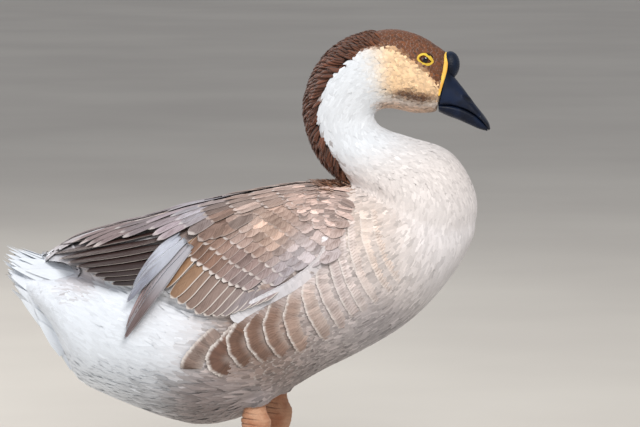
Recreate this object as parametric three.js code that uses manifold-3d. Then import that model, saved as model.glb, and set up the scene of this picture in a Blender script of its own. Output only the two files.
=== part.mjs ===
// A knobbed domestic goose, life size, standing with its neck drawn back in an S.
// Millimetres. +Z is up, +X points towards the bill and +Y to the bird's left. The floor is z = 0.
//
// Every fleshy part is a loft: oval sections carried along the body. A section is given in the
// bird's own side view by the point on its back edge, the point on its front or lower edge, and
// half its width; `wide` says how far up from the lower edge the section is widest.

import * as THREE from 'three';
import { mergeVertices } from 'three/addons/utils/BufferGeometryUtils.js';
import Module from 'manifold-3d';

const wasm = await Module();
wasm.setup();

// ---------------------------------------------------------------- driving dimensions

const GAP = 0.3;              // clearance left wherever two pieces meet
const EYE_RADIUS = 8;
const EYE = { x: 198.5, y: 17.3, z: 482.3 };
const HOCK_HEIGHT = 89;
const THIGH_END = 106;        // where the feathers stop above the hock
const ANKLE_HEIGHT = 15;
const ANKLE_FORWARD = -4;     // from the hock to the ankle
const LEG_SPREAD = 50;        // from the middle plane to each leg
const STRIDE = { right: 13.5, left: 36 };   // how far forward each hock stands
const TOES = [
  { name: 'inner', length: 62, turn: 31, thick: 9.5 },
  { name: 'middle', length: 79, turn: 2, thick: 11 },
  { name: 'outer', length: 72, turn: -27, thick: 10 },
];
const HIND_TOE = { name: 'hind', length: 24, turn: 168, thick: 7.5 };
const CLAW_LENGTH = 10;
const WEB_THICKNESS = 2.4;

// Sections of the trunk, from under the tail to the breast: the height of the back and of the
// belly, and half the width. The belly hangs lowest behind the legs, as it does in a grown bird.
const TRUNK = [
  { x: -254, back: 251, belly: 239, half: 14 },   // tips of the under-tail coverts
  { x: -243, back: 250, belly: 226, half: 26 },
  { x: -229, back: 248, belly: 210, half: 36 },
  { x: -211, back: 247, belly: 188, half: 46 },
  { x: -197, back: 249, belly: 158, half: 56 },
  { x: -180, back: 254, belly: 131, half: 68 },   // vent
  { x: -153, back: 264, belly: 116, half: 83 },
  { x: -114, back: 279, belly: 100, half: 97 },
  { x: -76, back: 299, belly: 87, half: 104 },
  { x: -43, back: 316, belly: 82, half: 107 },    // lowest point of the belly
  { x: -4, back: 331, belly: 90, half: 108 },
  { x: 40, back: 341, belly: 113, half: 108 },
  { x: 84, back: 346, belly: 139, half: 105 },
  { x: 128, back: 345, belly: 161, half: 98 },    // shoulders
  { x: 172, back: 338, belly: 187, half: 87 },
  { x: 205, back: 331, belly: 216, half: 73 },
  { x: 232, back: 321, belly: 250, half: 53 },
  { x: 247, back: 312, belly: 276, half: 34 },
  { x: 254, back: 304, belly: 293, half: 14 },    // foremost point of the breast
].map((s) => ({ t: s.x, bx: s.x, bz: s.back, fx: s.x, fz: s.belly, half: s.half, wide: 0.48 }));

// Sections of the neck and head, from inside the breast up over the nape to the bill.
// b is the nape edge, f the throat edge.
const NECK = [
  { bx: 166, bz: 272, fx: 232, fz: 262, half: 50, wide: 0.5 },
  { bx: 141, bz: 315, fx: 255, fz: 306, half: 66, wide: 0.5 },
  { bx: 120, bz: 342, fx: 251.5, fz: 344, half: 61, wide: 0.5 },    // root of the neck
  { bx: 103, bz: 354, fx: 226, fz: 380.5, half: 50, wide: 0.5 },
  { bx: 91, bz: 365, fx: 183, fz: 396, half: 39.5, wide: 0.5 },
  { bx: 79, bz: 384, fx: 158, fz: 404, half: 33, wide: 0.5 },
  { bx: 71.5, bz: 406, fx: 146.5, fz: 412, half: 29, wide: 0.5 },
  { bx: 68, bz: 428, fx: 143, fz: 418, half: 28, wide: 0.5 },     // hindmost point of the nape
  { bx: 73, bz: 453, fx: 143.5, fz: 422, half: 27.5, wide: 0.5 },
  { bx: 86, bz: 478.5, fx: 146.5, fz: 425, half: 27.5, wide: 0.48 },
  { bx: 110, bz: 500.5, fx: 151, fz: 427, half: 28, wide: 0.46 },
  { bx: 140, bz: 511.5, fx: 158, fz: 428, half: 28.5, wide: 0.44 },
  { bx: 163, bz: 515, fx: 169, fz: 427, half: 29.5, wide: 0.42 }, // crown
  { bx: 183, bz: 511.5, fx: 184, fz: 423.5, half: 29.5, wide: 0.42 },
  { bx: 199, bz: 505, fx: 196, fz: 423, half: 27.5, wide: 0.42 }, // eyes
  { bx: 212, bz: 496.5, fx: 206, fz: 423.5, half: 23.5, wide: 0.4 },
  { bx: 222, bz: 490.5, fx: 212.5, fz: 425, half: 18.5, wide: 0.38 }, // root of the bill
].map((s, t) => ({ t, ...s }));
const NECK_CUTS = { middle: 4, upper: 8, head: 11, bill: 16 };

// Upper and lower bill, from the face to the tip. The mouth line runs between them.
const UPPER_BILL = [
  { bx: 224.5, bz: 484, fx: 213.5, fz: 429, half: 18, wide: 0.14 },
  { bx: 230, bz: 465, fx: 220.5, fz: 430.8, half: 17.5, wide: 0.14 },
  { bx: 235, bz: 457.5, fx: 228, fz: 430.6, half: 16, wide: 0.14 },
  { bx: 241, bz: 450, fx: 236, fz: 428.5, half: 14.5, wide: 0.16 },
  { bx: 248, bz: 440.5, fx: 244.5, fz: 425.5, half: 13, wide: 0.18 },
  { bx: 255.5, bz: 430.5, fx: 252.5, fz: 421, half: 12, wide: 0.22 },
  { bx: 263.5, bz: 420.5, fx: 260, fz: 414.8, half: 10.5, wide: 0.3 },
  { bx: 269, bz: 412, fx: 266, fz: 407.6, half: 7.5, wide: 0.4 },
  { bx: 270.6, bz: 406, fx: 269, fz: 403.6, half: 3.5, wide: 0.5 },
].map((s, t) => ({ t, ...s }));
const LOWER_BILL = [
  { bx: 213.5, bz: 434, fx: 214, fz: 424.2, half: 16.5, wide: 0.6 },
  { bx: 225, bz: 434, fx: 223, fz: 420, half: 15.5, wide: 0.6 },
  { bx: 238, bz: 431, fx: 234.3, fz: 415.8, half: 13.6, wide: 0.6 },
  { bx: 247, bz: 427, fx: 243, fz: 412, half: 12, wide: 0.6 },
  { bx: 255, bz: 422, fx: 251.5, fz: 408.2, half: 10.4, wide: 0.6 },
  { bx: 261, bz: 415, fx: 259, fz: 404.8, half: 8.2, wide: 0.6 },
  { bx: 265.6, bz: 408, fx: 264.6, fz: 402.8, half: 4.5, wide: 0.6 },
].map((s, t) => ({ t, ...s }));
const NAIL_FROM = 5.6;        // the nail caps the bill from this station to the tip
const KNOB = { x: 226.4, z: 475.5, long: 10.6, high: 15.2, half: 13 };

// Folded wings: the outer surface that the scapulars, coverts and primaries lie in. It narrows
// behind the body to the crossed tips over the tail.
const WINGS = [
  { x: -224, top: 263, bottom: 246, half: 22 },
  { x: -215, top: 269, bottom: 228, half: 33 },
  { x: -192, top: 284, bottom: 205, half: 52 },
  { x: -153, top: 298, bottom: 165, half: 79 },
  { x: -106, top: 309.5, bottom: 125, half: 101 },
  { x: -60, top: 323, bottom: 104, half: 113.5 },
  { x: 6, top: 338, bottom: 100, half: 118 },
  { x: 62, top: 347, bottom: 120, half: 116 },
  { x: 105, top: 347.5, bottom: 150, half: 107 },
  { x: 126, top: 344, bottom: 162, half: 98 },
].map((s) => ({ t: s.x, bx: s.x, bz: s.top, fx: s.x, fz: s.bottom, half: s.half, wide: 0.48 }));

// Lower edges of the folded wing from the shoulder to the wrist, and on to the tips.
const WING_EDGE = [
  [119, 350], [112, 319], [94, 292], [68, 262], [42, 242], [10, 229], [-14, 218], [-40, 214], [-62, 222],
  [-90, 233],
];
const PRIMARY_EDGE = [[-90, 233], [-113, 236], [-136, 240.5], [-166, 250], [-196, 258], [-225, 262]];
const WRIST = { low: [-90, 233], high: [-106, 330] };   // where the primaries come out from under the coverts
const MANTLE = { front: 46, frontX: 124, backX: -70 };  // half the bare back between the wings
const BETWEEN_WINGS = 0.6;

const COLOURS = {
  white: 0xe9e6e1, breast: 0xd9c8b8, brown: 0x8d6f5c, dark: 0x4e3a31, nape: 0x5c3a2a,
  face: 0xd7b48d, bill: 0x14171d, knob: 0x171c26, orange: 0xd9853f, claw: 0x6b5a49, eye: 0x1b0f0a,
};

// ---------------------------------------------------------------- shapes

// Sizes that run smoothly from station to station: a cubic through every field of the table.
function smoothly(table) {
  const fields = ['bx', 'bz', 'fx', 'fz', 'half', 'wide'];
  const curve = new THREE.CubicInterpolant(
    table.map((s) => s.t),
    table.flatMap((s) => fields.map((f) => s[f])),
    fields.length,
  );
  return (t) => {
    const values = curve.evaluate(t);
    return Object.fromEntries(fields.map((f, i) => [f, values[i]]));
  };
}

// One oval section as a ring of points. `grow` enlarges it all round and `shift` slides it along
// the body; `y` moves it off the middle plane.
function ring(section, { around = 24, grow = 0, shift = 0, square = 2, y = 0 } = {}) {
  const back = new THREE.Vector3(section.bx, 0, section.bz);
  const front = new THREE.Vector3(section.fx, 0, section.fz);
  const across = back.clone().sub(front);
  const depth = across.length();
  across.normalize();
  const along = new THREE.Vector3(across.z, 0, -across.x);
  const centre = front.clone().addScaledVector(across, depth * section.wide).addScaledVector(along, shift);
  const upper = depth * (1 - section.wide) + grow;
  const lower = depth * section.wide + grow;
  const soften = (v) => Math.sign(v) * Math.abs(v) ** (2 / square);
  return Array.from({ length: around }, (_, i) => {
    const angle = (i / around) * 2 * Math.PI;
    const c = soften(Math.cos(angle));
    const p = centre.clone().addScaledVector(across, c * (c > 0 ? upper : lower));
    p.y = y + soften(Math.sin(angle)) * (section.half + grow);
    return p;
  });
}

// A closed solid through a list of rings, with a flat fan across each end.
function loft(rings) {
  const around = rings[0].length;
  const points = rings.flat();
  const faces = [];
  for (let r = 0; r + 1 < rings.length; r++) {
    for (let i = 0; i < around; i++) {
      const a = r * around + i;
      const b = r * around + ((i + 1) % around);
      faces.push(a, b, a + around, b, b + around, a + around);
    }
  }
  for (const [r, turn] of [[0, 1], [rings.length - 1, -1]]) {
    const centre = rings[r].reduce((sum, p) => sum.add(p), new THREE.Vector3()).divideScalar(around);
    const hub = points.push(centre) - 1;
    for (let i = 0; i < around; i++) {
      const a = r * around + i;
      const b = r * around + ((i + 1) % around);
      faces.push(...(turn > 0 ? [hub, b, a] : [hub, a, b]));
    }
  }
  const geometry = new THREE.BufferGeometry().setFromPoints(points);
  geometry.setIndex(faces);
  return solid(geometry);
}

// A three.js geometry as a solid that can be joined and cut.
function solid(geometry) {
  const bare = geometry.clone();
  bare.deleteAttribute('normal');
  bare.deleteAttribute('uv');
  const merged = mergeVertices(bare, 1e-4);
  const build = (triVerts) => new wasm.Manifold(new wasm.Mesh({
    numProp: 3,
    vertProperties: merged.attributes.position.array,
    triVerts,
  }));
  const made = build(new Uint32Array(merged.index.array));
  return made.volume() > 0 ? made : build(new Uint32Array(merged.index.array).reverse());
}

const steps = (from, to, count) => Array.from({ length: count + 1 }, (_, i) => from + ((to - from) * i) / count);
const joined = (solids) => solids.reduce((all, s) => all.add(s));
const largest = (s) => s.decompose().reduce((a, b) => (a.volume() > b.volume() ? a : b));

// A block with one corner at `low` and the opposite one at `high`.
function block(low, high) {
  const size = high.map((v, i) => v - low[i]);
  const geometry = new THREE.BoxGeometry(...size);
  return solid(geometry.translate(...low.map((v, i) => v + size[i] / 2)));
}

// A loft through a table's sections at the stations `ts`. `ends` slides the first and the last
// section along the body.
function stretch(table, ts, options = {}) {
  const sizes = smoothly(table);
  const [first, last] = options.ends ?? [0, 0];
  return loft(ts.map((t, i) => {
    const shift = i === 0 ? first : i === ts.length - 1 ? last : 0;
    return ring(sizes(t), { ...options, shift });
  }));
}

// A feather or a stack of feathers: a thin blade along a bowed line from root to tip. `face` is
// the way its flat side looks; it is narrow at the root, full past the middle and round-tipped.
function blade({ root, tip, bow, width, face, thick, rings = 7, around = 8 }) {
  const start = new THREE.Vector3(...root);
  const end = new THREE.Vector3(...tip);
  const middle = start.clone().lerp(end, 0.5).add(new THREE.Vector3(...bow));
  const spine = new THREE.QuadraticBezierCurve3(start, middle, end);
  const flat = new THREE.Vector3(...face).normalize();
  return loft(steps(0.02, 0.98, rings).map((t) => {
    const side = spine.getTangent(t).cross(flat).normalize();
    const half = (width / 2) * (0.45 + 0.55 * Math.sin(Math.PI * t ** 0.8)) * Math.sqrt(1 - t ** 6);
    const centre = spine.getPoint(t);
    return Array.from({ length: around }, (_, i) => {
      const angle = (i / around) * 2 * Math.PI;
      return centre.clone()
        .addScaledVector(side, half * Math.cos(angle))
        .addScaledVector(flat, (thick / 2) * Math.sin(angle));
    });
  }));
}

// ---------------------------------------------------------------- the bird's parts

const trunkOptions = { around: 24, square: 2.15 };
const trunkStations = steps(TRUNK[0].t, TRUNK.at(-1).t, 27);
const wholeTrunk = stretch(TRUNK, trunkStations, trunkOptions);
const roundTrunk = stretch(TRUNK, trunkStations, { ...trunkOptions, grow: GAP });

// The trunk is one shape, parted by thin cuts across it.
function trunkBetween(from, to) {
  return wholeTrunk.intersect(block([from, -300, 0], [to, 300, 600]));
}

function neck(ts, options) {
  return stretch(NECK, ts, { around: 20, ...options });
}

const lowerNeckStations = steps(0, NECK_CUTS.middle, 6);

// The lower neck rises out of the breast, so the breast's own surface trims its foot.
function lowerNeck() {
  return largest(neck(lowerNeckStations, { ends: [0, -GAP / 2] }).subtract(roundTrunk));
}

function eye(side, grow = 0) {
  const ball = new THREE.SphereGeometry(EYE_RADIUS + grow, 10, 8);
  return solid(ball.translate(EYE.x, side * EYE.y, EYE.z));
}

// The knob is an egg that swells from the forehead over the root of the bill.
function knob(grow = 0) {
  const egg = new THREE.SphereGeometry(1, 14, 9);
  egg.scale(KNOB.long + grow, KNOB.half + grow, KNOB.high + grow);
  return solid(egg.translate(KNOB.x, 0, KNOB.z));
}

const headStations = steps(NECK_CUTS.head, NECK_CUTS.bill, 8);
const roundHead = neck(headStations, { ends: [0, GAP], grow: GAP });

function head() {
  const skull = neck(headStations, { ends: [GAP / 2, 0] });
  return largest(skull.subtract(eye(1, GAP)).subtract(eye(-1, GAP)));
}

const billStations = steps(0, NAIL_FROM, 8);
const nailStations = steps(NAIL_FROM, UPPER_BILL.length - 1, 4);

function upperBill(ts, options) {
  return stretch(UPPER_BILL, ts, { around: 16, ...options });
}

// The lower bill closes against the underside of the upper one.
function lowerBill() {
  const roundUpper = upperBill([...billStations, ...nailStations.slice(1)], { grow: GAP });
  const whole = stretch(LOWER_BILL, steps(0, LOWER_BILL.length - 1, 8), { around: 14 });
  return largest(whole.subtract(roundHead).subtract(roundUpper));
}

const wingStations = steps(WINGS[0].t, WINGS.at(-1).t, 18);
const wings = stretch(WINGS, wingStations, trunkOptions);
const roundWings = stretch(WINGS, wingStations, { ...trunkOptions, grow: GAP, ends: [-GAP, 0] });

// A slab that covers one side of the bird wherever an outline in x and z does.
function sidePanel(outline, side) {
  const shape = new THREE.Shape(outline.map(([x, z]) => new THREE.Vector2(x, z)));
  const slab = new THREE.ExtrudeGeometry(shape, { depth: 150, bevelEnabled: false, steps: 1 });
  return solid(slab.rotateX(Math.PI / 2).translate(0, side > 0 ? 150 : 0, 0));
}

// The bare back between the wings, wide at the shoulders and closing behind them.
function mantle() {
  const half = BETWEEN_WINGS / 2;
  const { front, frontX, backX } = MANTLE;
  const plan = [[-300, -half], [backX, -half], [frontX, -front], [200, -front]];
  const shape = new THREE.Shape([...plan, ...plan.toReversed().map(([x, y]) => [x, -y])]
    .map(([x, y]) => new THREE.Vector2(x, y)));
  return solid(new THREE.ExtrudeGeometry(shape, { depth: 400, bevelEnabled: false, steps: 1 }));
}

// A wing is the part of the wings' outer surface that lies off the trunk, above the edge given.
function folded(side, outline) {
  const flank = wings.intersect(sidePanel(outline, side));
  const neckRoot = neck(lowerNeckStations, { grow: GAP });
  return largest(flank.subtract(mantle()).subtract(roundTrunk).subtract(neckRoot));
}

function smoothEdge(points, count) {
  const curve = new THREE.SplineCurve(points.map(([x, z]) => new THREE.Vector2(x, z)));
  return curve.getPoints(count).map((p) => [p.x, p.y]);
}

function wing(side) {
  return folded(side, [...smoothEdge(WING_EDGE, 18), WRIST.high, [-106, 400], [130, 400]]);
}

// The folded primaries run back over the rump to the wing tips, clear of the tail beneath them.
function primaries(side) {
  const behind = ([x, z]) => [x - GAP, z];
  const edge = smoothEdge(PRIMARY_EDGE, 10).map(behind);
  const whole = folded(side, [behind(WRIST.high), ...edge, [-240, 262], [-240, 400], behind([-106, 400])]);
  return largest(whole.subtract(tail(GAP)));
}

// Loose tertials: two on each side have slipped down across the flank, further on the right.
const TERTIALS = {
  right: [
    { root: [-62, -93, 291], tip: [-135, -98, 194], bow: [-4, -7, -2], width: 20 },
    { root: [-64, -92, 293], tip: [-132, -97, 235], bow: [-6, -5, 5], width: 21 },
  ],
  left: [
    { root: [-62, 93, 290], tip: [-142, 94, 214], bow: [-6, 6, 2], width: 20 },
    { root: [-64, 92, 292], tip: [-148, 87, 243], bow: [-6, 6, 5], width: 21 },
  ],
};

function tertials(name) {
  const outwards = name === 'left' ? 1 : -1;
  const blades = TERTIALS[name].map((b) => blade({
    ...b, face: [-0.15, outwards, 0.12], thick: 2.2, rings: 6, around: 6,
  }));
  return largest(joined(blades).subtract(roundTrunk).subtract(roundWings));
}

// The tail is an arched fan: each ring across it is a thin band whose edges droop.
const TAIL = { rootX: -186, tipX: -269.5, rootZ: 251, tipZ: 273, rootHalf: 34, tipHalf: 48, droop: 20 };

function tail(grow = 0) {
  const across = 8;
  return loft(steps(0, 1, 7).map((t) => {
    const x = THREE.MathUtils.lerp(TAIL.rootX, TAIL.tipX, t) + (t > 0.99 ? -grow : 0);
    const z = THREE.MathUtils.lerp(TAIL.rootZ, TAIL.tipZ, t ** 1.8);
    const half = THREE.MathUtils.lerp(TAIL.rootHalf, TAIL.tipHalf, Math.sqrt(t)) * (1 - 0.28 * t ** 6) + grow;
    const thick = THREE.MathUtils.lerp(11, 2.4, t ** 0.8) / 2 + grow;
    const band = (s, up) => new THREE.Vector3(
      x + 10 * t * s * s,
      half * s,
      z - TAIL.droop * (0.4 + 0.6 * t) * s * s + up * thick * (1 - 0.7 * s ** 4),
    );
    return [
      ...steps(-1, 1, across).map((s) => band(s, 1)),
      ...steps(1, -1, across).map((s) => band(s, -1)),
    ];
  }));
}

// Feathered thigh, from inside the belly to just above the hock.
function thigh(side, x) {
  const table = [
    { t: 0, z: 170, dx: 14, deep: 34, half: 30 },
    { t: 1, z: 142, dx: 10, deep: 30, half: 26 },
    { t: 2, z: 122, dx: 3, deep: 22, half: 20 },
    { t: 3, z: THIGH_END, dx: -1, deep: 14, half: 13.5 },
  ].map((s) => legSection(s, x));
  return largest(stretch(table, steps(0, 3, 6), { around: 16, y: side * LEG_SPREAD }).subtract(roundTrunk));
}

// A level section of the leg: `dx` forward of the hock, `deep` half its fore-and-aft depth.
function legSection({ t, z, dx, deep, half }, x) {
  return { t, bx: x + dx - deep, bz: z, fx: x + dx + deep, fz: z + 0.001, half, wide: 0.5 };
}


// Bare shank: the end of the tibia, the thick hock and the slender tarsus down to the ankle.
function shank(side, x) {
  const table = [
    { t: 0, z: THIGH_END - GAP, dx: -1, deep: 11.5, half: 10 },
    { t: 1, z: HOCK_HEIGHT, dx: 0, deep: 16.2, half: 12 },
    { t: 2, z: HOCK_HEIGHT - 16, dx: 0.5, deep: 14, half: 10.5 },
    { t: 3, z: 52, dx: -1.5, deep: 9, half: 7.2 },
    { t: 4, z: 28, dx: -3, deep: 8.6, half: 7.2 },
    { t: 5, z: ANKLE_HEIGHT, dx: ANKLE_FORWARD, deep: 10, half: 9 },
  ].map((s) => legSection(s, x));
  return stretch(table, steps(0, 5, 8), { around: 12, y: side * LEG_SPREAD }).subtract(roundTrunk);
}

// A toe lies along +X from the ankle with its sole on the floor, swelling at its joints.
function toe({ length, thick }) {
  const start = -4;
  return loft(steps(0, 1, 5).map((t) => {
    const swell = 1 + 0.1 * Math.cos(t * 6 * Math.PI);
    const high = thick * (1 - 0.5 * t) * swell;
    const x = start + (length - start) * t;
    return ring(
      { bx: x, bz: high, fx: x, fz: -2, half: (high / 2) * 1.02, wide: 0.35 },
      { around: 8, square: 2.3 },
    );
  }));
}

// A curved claw that continues its toe and points down at the floor.
function claw({ length, thick }) {
  const high = thick * 0.5;
  return loft(steps(0, 1, 3).map((t) => {
    const x = length + GAP + CLAW_LENGTH * t;
    const size = high * (1 - 0.8 * t ** 1.5);
    const drop = high * 0.55 * t * t;
    const top = Math.max(high - drop, size);
    return ring({ bx: x, bz: top, fx: x, fz: top - size, half: size / 2.4, wide: 0.4 }, { around: 6 });
  }));
}

// Puts a piece made along +X at a foot: turned to its toe's direction, about the ankle.
function placed(piece, turn, side, x) {
  return piece.rotate([0, 0, side * -turn]).translate([x + ANKLE_FORWARD, side * LEG_SPREAD, 0]);
}

// Thin web between two toes: straight along both toes and scooped at its free edge.
function web(a, b, side, x) {
  const reach = 0.9;
  const end = (toeSize) => new THREE.Vector2(toeSize.length * reach, 0)
    .rotateAround(new THREE.Vector2(), THREE.MathUtils.degToRad(side * -toeSize.turn));
  const first = end(a);
  const last = end(b);
  const scoop = first.clone().add(last).multiplyScalar(0.41);
  const outline = new THREE.Shape().moveTo(0, 0).lineTo(first.x, first.y);
  outline.quadraticCurveTo(scoop.x, scoop.y, last.x, last.y);
  const sheet = new THREE.ExtrudeGeometry(outline, {
    depth: WEB_THICKNESS, bevelEnabled: false, curveSegments: 6, steps: 1,
  });
  return solid(sheet.translate(x + ANKLE_FORWARD, side * LEG_SPREAD, 0.4));
}

function foot(side, x) {
  const ankle = [
    { t: 0, z: ANKLE_HEIGHT - GAP, dx: ANKLE_FORWARD, deep: 10, half: 9 },
    { t: 1, z: 6, dx: ANKLE_FORWARD + 1, deep: 10.5, half: 10 },
    { t: 2, z: -2, dx: ANKLE_FORWARD + 1, deep: 9, half: 9 },
  ].map((s) => legSection(s, x));
  const whole = joined([
    stretch(ankle, steps(0, 2, 2), { around: 12, y: side * LEG_SPREAD }),
    ...[...TOES, HIND_TOE].map((t) => placed(toe(t), t.turn, side, x)),
    web(TOES[0], TOES[1], side, x),
    web(TOES[1], TOES[2], side, x),
  ]);
  return whole.subtract(block([-200, -200, -20], [300, 200, 0]));
}

// ---------------------------------------------------------------- assembly

const goose = new THREE.Group();

function addPart(name, piece, colour, roughness = 0.85) {
  const { vertProperties, triVerts, numProp } = piece.getMesh();
  const points = new Float32Array((vertProperties.length / numProp) * 3);
  for (let i = 0; i < points.length / 3; i++) {
    points.set(vertProperties.subarray(i * numProp, i * numProp + 3), i * 3);
  }
  const geometry = new THREE.BufferGeometry();
  geometry.setAttribute('position', new THREE.BufferAttribute(points, 3));
  geometry.setIndex(new THREE.BufferAttribute(triVerts, 1));
  geometry.computeVertexNormals();
  const material = new THREE.MeshStandardMaterial({ color: colour, roughness, metalness: 0, flatShading: true });
  const mesh = new THREE.Mesh(geometry, material);
  mesh.name = name;
  goose.add(mesh);
}

const RUMP_TO_BELLY = -120;
const BELLY_TO_BREAST = 120;
addPart('trunk_rump', trunkBetween(-300, RUMP_TO_BELLY - GAP / 2), COLOURS.white);
addPart('trunk_belly', trunkBetween(RUMP_TO_BELLY + GAP / 2, BELLY_TO_BREAST - GAP / 2), COLOURS.white);
addPart('trunk_breast', trunkBetween(BELLY_TO_BREAST + GAP / 2, 300), COLOURS.breast);

const parted = { ends: [GAP / 2, -GAP / 2] };
addPart('neck_lower', lowerNeck(), COLOURS.breast);
addPart('neck_middle', neck(steps(NECK_CUTS.middle, NECK_CUTS.upper, 6), parted), COLOURS.white);
addPart('neck_upper', neck(steps(NECK_CUTS.upper, NECK_CUTS.head, 4), parted), COLOURS.nape);
addPart('head', head(), COLOURS.face);

const upper = upperBill(billStations, { ends: [0, -GAP / 2] });
addPart('knob', largest(knob().subtract(roundHead)), COLOURS.knob, 0.4);
addPart('bill_upper', largest(upper.subtract(roundHead).subtract(knob(GAP))), COLOURS.bill, 0.4);
addPart('bill_nail', upperBill(nailStations, { ends: [GAP / 2, 0] }), COLOURS.bill, 0.35);
addPart('bill_lower', lowerBill(), COLOURS.bill, 0.4);

addPart('tail', largest(tail().subtract(roundTrunk)), COLOURS.white);

for (const [name, side] of [['right', -1], ['left', 1]]) {
  const x = STRIDE[name];
  addPart(`eye_${name}`, eye(side), COLOURS.eye, 0.1);
  addPart(`wing_${name}`, wing(side), COLOURS.brown);
  addPart(`primaries_${name}`, primaries(side), COLOURS.dark);
  addPart(`tertials_${name}`, tertials(name), COLOURS.brown);
  addPart(`thigh_${name}`, thigh(side, x), COLOURS.breast);
  addPart(`shank_${name}`, shank(side, x), COLOURS.orange, 0.6);
  addPart(`foot_${name}`, foot(side, x), COLOURS.orange, 0.6);
  for (const t of [...TOES, HIND_TOE]) {
    addPart(`claw_${name}_${t.name}`, placed(claw(t), t.turn, side, x), COLOURS.claw, 0.5);
  }
}

export default goose;
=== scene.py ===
"""A knobbed domestic goose in its plumage, standing, with its neck drawn back in an S.

Metres. +Z is up, +X points to the bill, +Y to the bird's left. Tables are in millimetres.
One skin runs under the whole plumage, and every feather is a thin closed vane laid on it."""

import bpy
import numpy as np
from bpy.props import FloatProperty, FloatVectorProperty, PointerProperty
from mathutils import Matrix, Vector


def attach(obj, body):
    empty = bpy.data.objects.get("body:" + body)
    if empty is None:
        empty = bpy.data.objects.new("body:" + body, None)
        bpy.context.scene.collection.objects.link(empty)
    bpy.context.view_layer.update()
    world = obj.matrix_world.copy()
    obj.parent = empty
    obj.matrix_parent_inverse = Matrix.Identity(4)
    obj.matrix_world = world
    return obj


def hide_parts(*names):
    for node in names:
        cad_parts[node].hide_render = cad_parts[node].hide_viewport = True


bl_info = {
    "name": "Knobbed goose",
    "version": (1, 0, 0),
    "blender": (4, 5, 0),
    "location": "View3D > Sidebar > Goose",
    "description": "Builds the skin, plumage, bill, eyes and legs of a standing goose",
    "category": "Object",
}

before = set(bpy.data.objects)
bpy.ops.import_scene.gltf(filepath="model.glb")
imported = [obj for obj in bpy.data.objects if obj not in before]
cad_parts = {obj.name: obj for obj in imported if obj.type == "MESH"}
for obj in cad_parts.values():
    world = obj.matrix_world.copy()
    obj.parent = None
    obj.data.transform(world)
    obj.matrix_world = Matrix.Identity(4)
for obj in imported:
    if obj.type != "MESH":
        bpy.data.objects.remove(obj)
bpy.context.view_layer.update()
MM = 0.001
SIDES = {"right": -1, "left": 1}

# ------------------------------------------------------------------ sizes of the bird

# One row is a section in the side view: the point on the back edge (x, z), the point on the front
# or lower edge (x, z), half the width, and how far up from the lower edge it is widest. The trunk's
# and the wings' sections are upright and share one x and one widest place.
TRUNK = np.array([(x, back, x, belly, half, 0.48) for x, back, belly, half in [
    (-254, 251, 239, 14), (-243, 250, 226, 26), (-229, 248, 210, 36), (-211, 247, 188, 46),
    (-197, 249, 158, 56), (-180, 254, 131, 68), (-153, 264, 116, 83), (-114, 279, 100, 97),
    (-76, 299, 87, 104), (-43, 316, 82, 107), (-4, 331, 90, 108), (40, 341, 113, 108),
    (84, 346, 139, 105), (128, 345, 161, 98), (172, 338, 187, 87), (205, 331, 216, 73),
    (232, 321, 250, 53), (247, 312, 276, 34), (254, 304, 293, 14)]], float)
WINGS = np.array([(x, top, x, bottom, half, 0.48) for x, top, bottom, half in [
    (-224, 263, 246, 22), (-215, 269, 228, 33), (-192, 284, 205, 52), (-153, 298, 165, 79),
    (-106, 309.5, 125, 101), (-60, 323, 104, 113.5), (6, 338, 100, 118), (62, 347, 120, 116),
    (105, 347.5, 150, 107), (126, 344, 162, 98)]], float)
NECK = np.array([
    (166, 272, 232, 262, 50, 0.5), (141, 315, 255, 306, 66, 0.5), (120, 342, 251.5, 344, 61, 0.5),
    (103, 354, 226, 380.5, 50, 0.5), (91, 365, 183, 396, 39.5, 0.5), (79, 384, 158, 404, 33, 0.5),
    (71.5, 406, 146.5, 412, 29, 0.5), (68, 428, 143, 418, 28, 0.5),
    (73, 453, 143.5, 422, 27.5, 0.5),
    (86, 478.5, 146.5, 425, 27.5, 0.48), (110, 500.5, 151, 427, 28, 0.46),
    (140, 511.5, 158, 428, 28.5, 0.44), (163, 515, 169, 427, 29.5, 0.42),
    (183, 511.5, 184, 423.5, 29.5, 0.42), (199, 505, 196, 423, 27.5, 0.42),
    (212, 496.5, 206, 423.5, 23.5, 0.4), (222, 490.5, 212.5, 425, 18.5, 0.38)])
UPPER_BILL = np.array([
    (224.5, 484, 213.5, 429, 18, 0.14), (230, 465, 220.5, 430.8, 17.5, 0.14),
    (235, 457.5, 228, 430.6, 16, 0.14), (241, 450, 236, 428.5, 14.5, 0.16),
    (248, 440.5, 244.5, 425.5, 13, 0.18), (255.5, 430.5, 252.5, 421, 12, 0.22),
    (263.5, 420.5, 260, 414.8, 10.5, 0.3), (269, 412, 266, 407.6, 7.5, 0.4),
    (270.6, 406, 269, 403.6, 3.5, 0.5)])
LOWER_BILL = np.array([
    (213.5, 434, 214, 424.2, 16.5, 0.6), (225, 434, 223, 420, 15.5, 0.6),
    (238, 431, 234.3, 415.8, 13.6, 0.6), (247, 427, 243, 412, 12, 0.6),
    (255, 422, 251.5, 408.2, 10.4, 0.6), (261, 415, 259, 404.8, 8.2, 0.6),
    (265.6, 408, 264.6, 402.8, 4.5, 0.6)])
# The lower edge of the folded wing and its primaries in the side view.
WING_EDGE = np.array([(-225, 262), (-196, 258), (-166, 250), (-136, 240), (-113, 236), (-90, 233),
                      (-62, 222), (-40, 214), (-14, 218), (10, 229), (42, 242), (68, 262),
                      (94, 292), (112, 319), (119, 350)], float)
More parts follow.
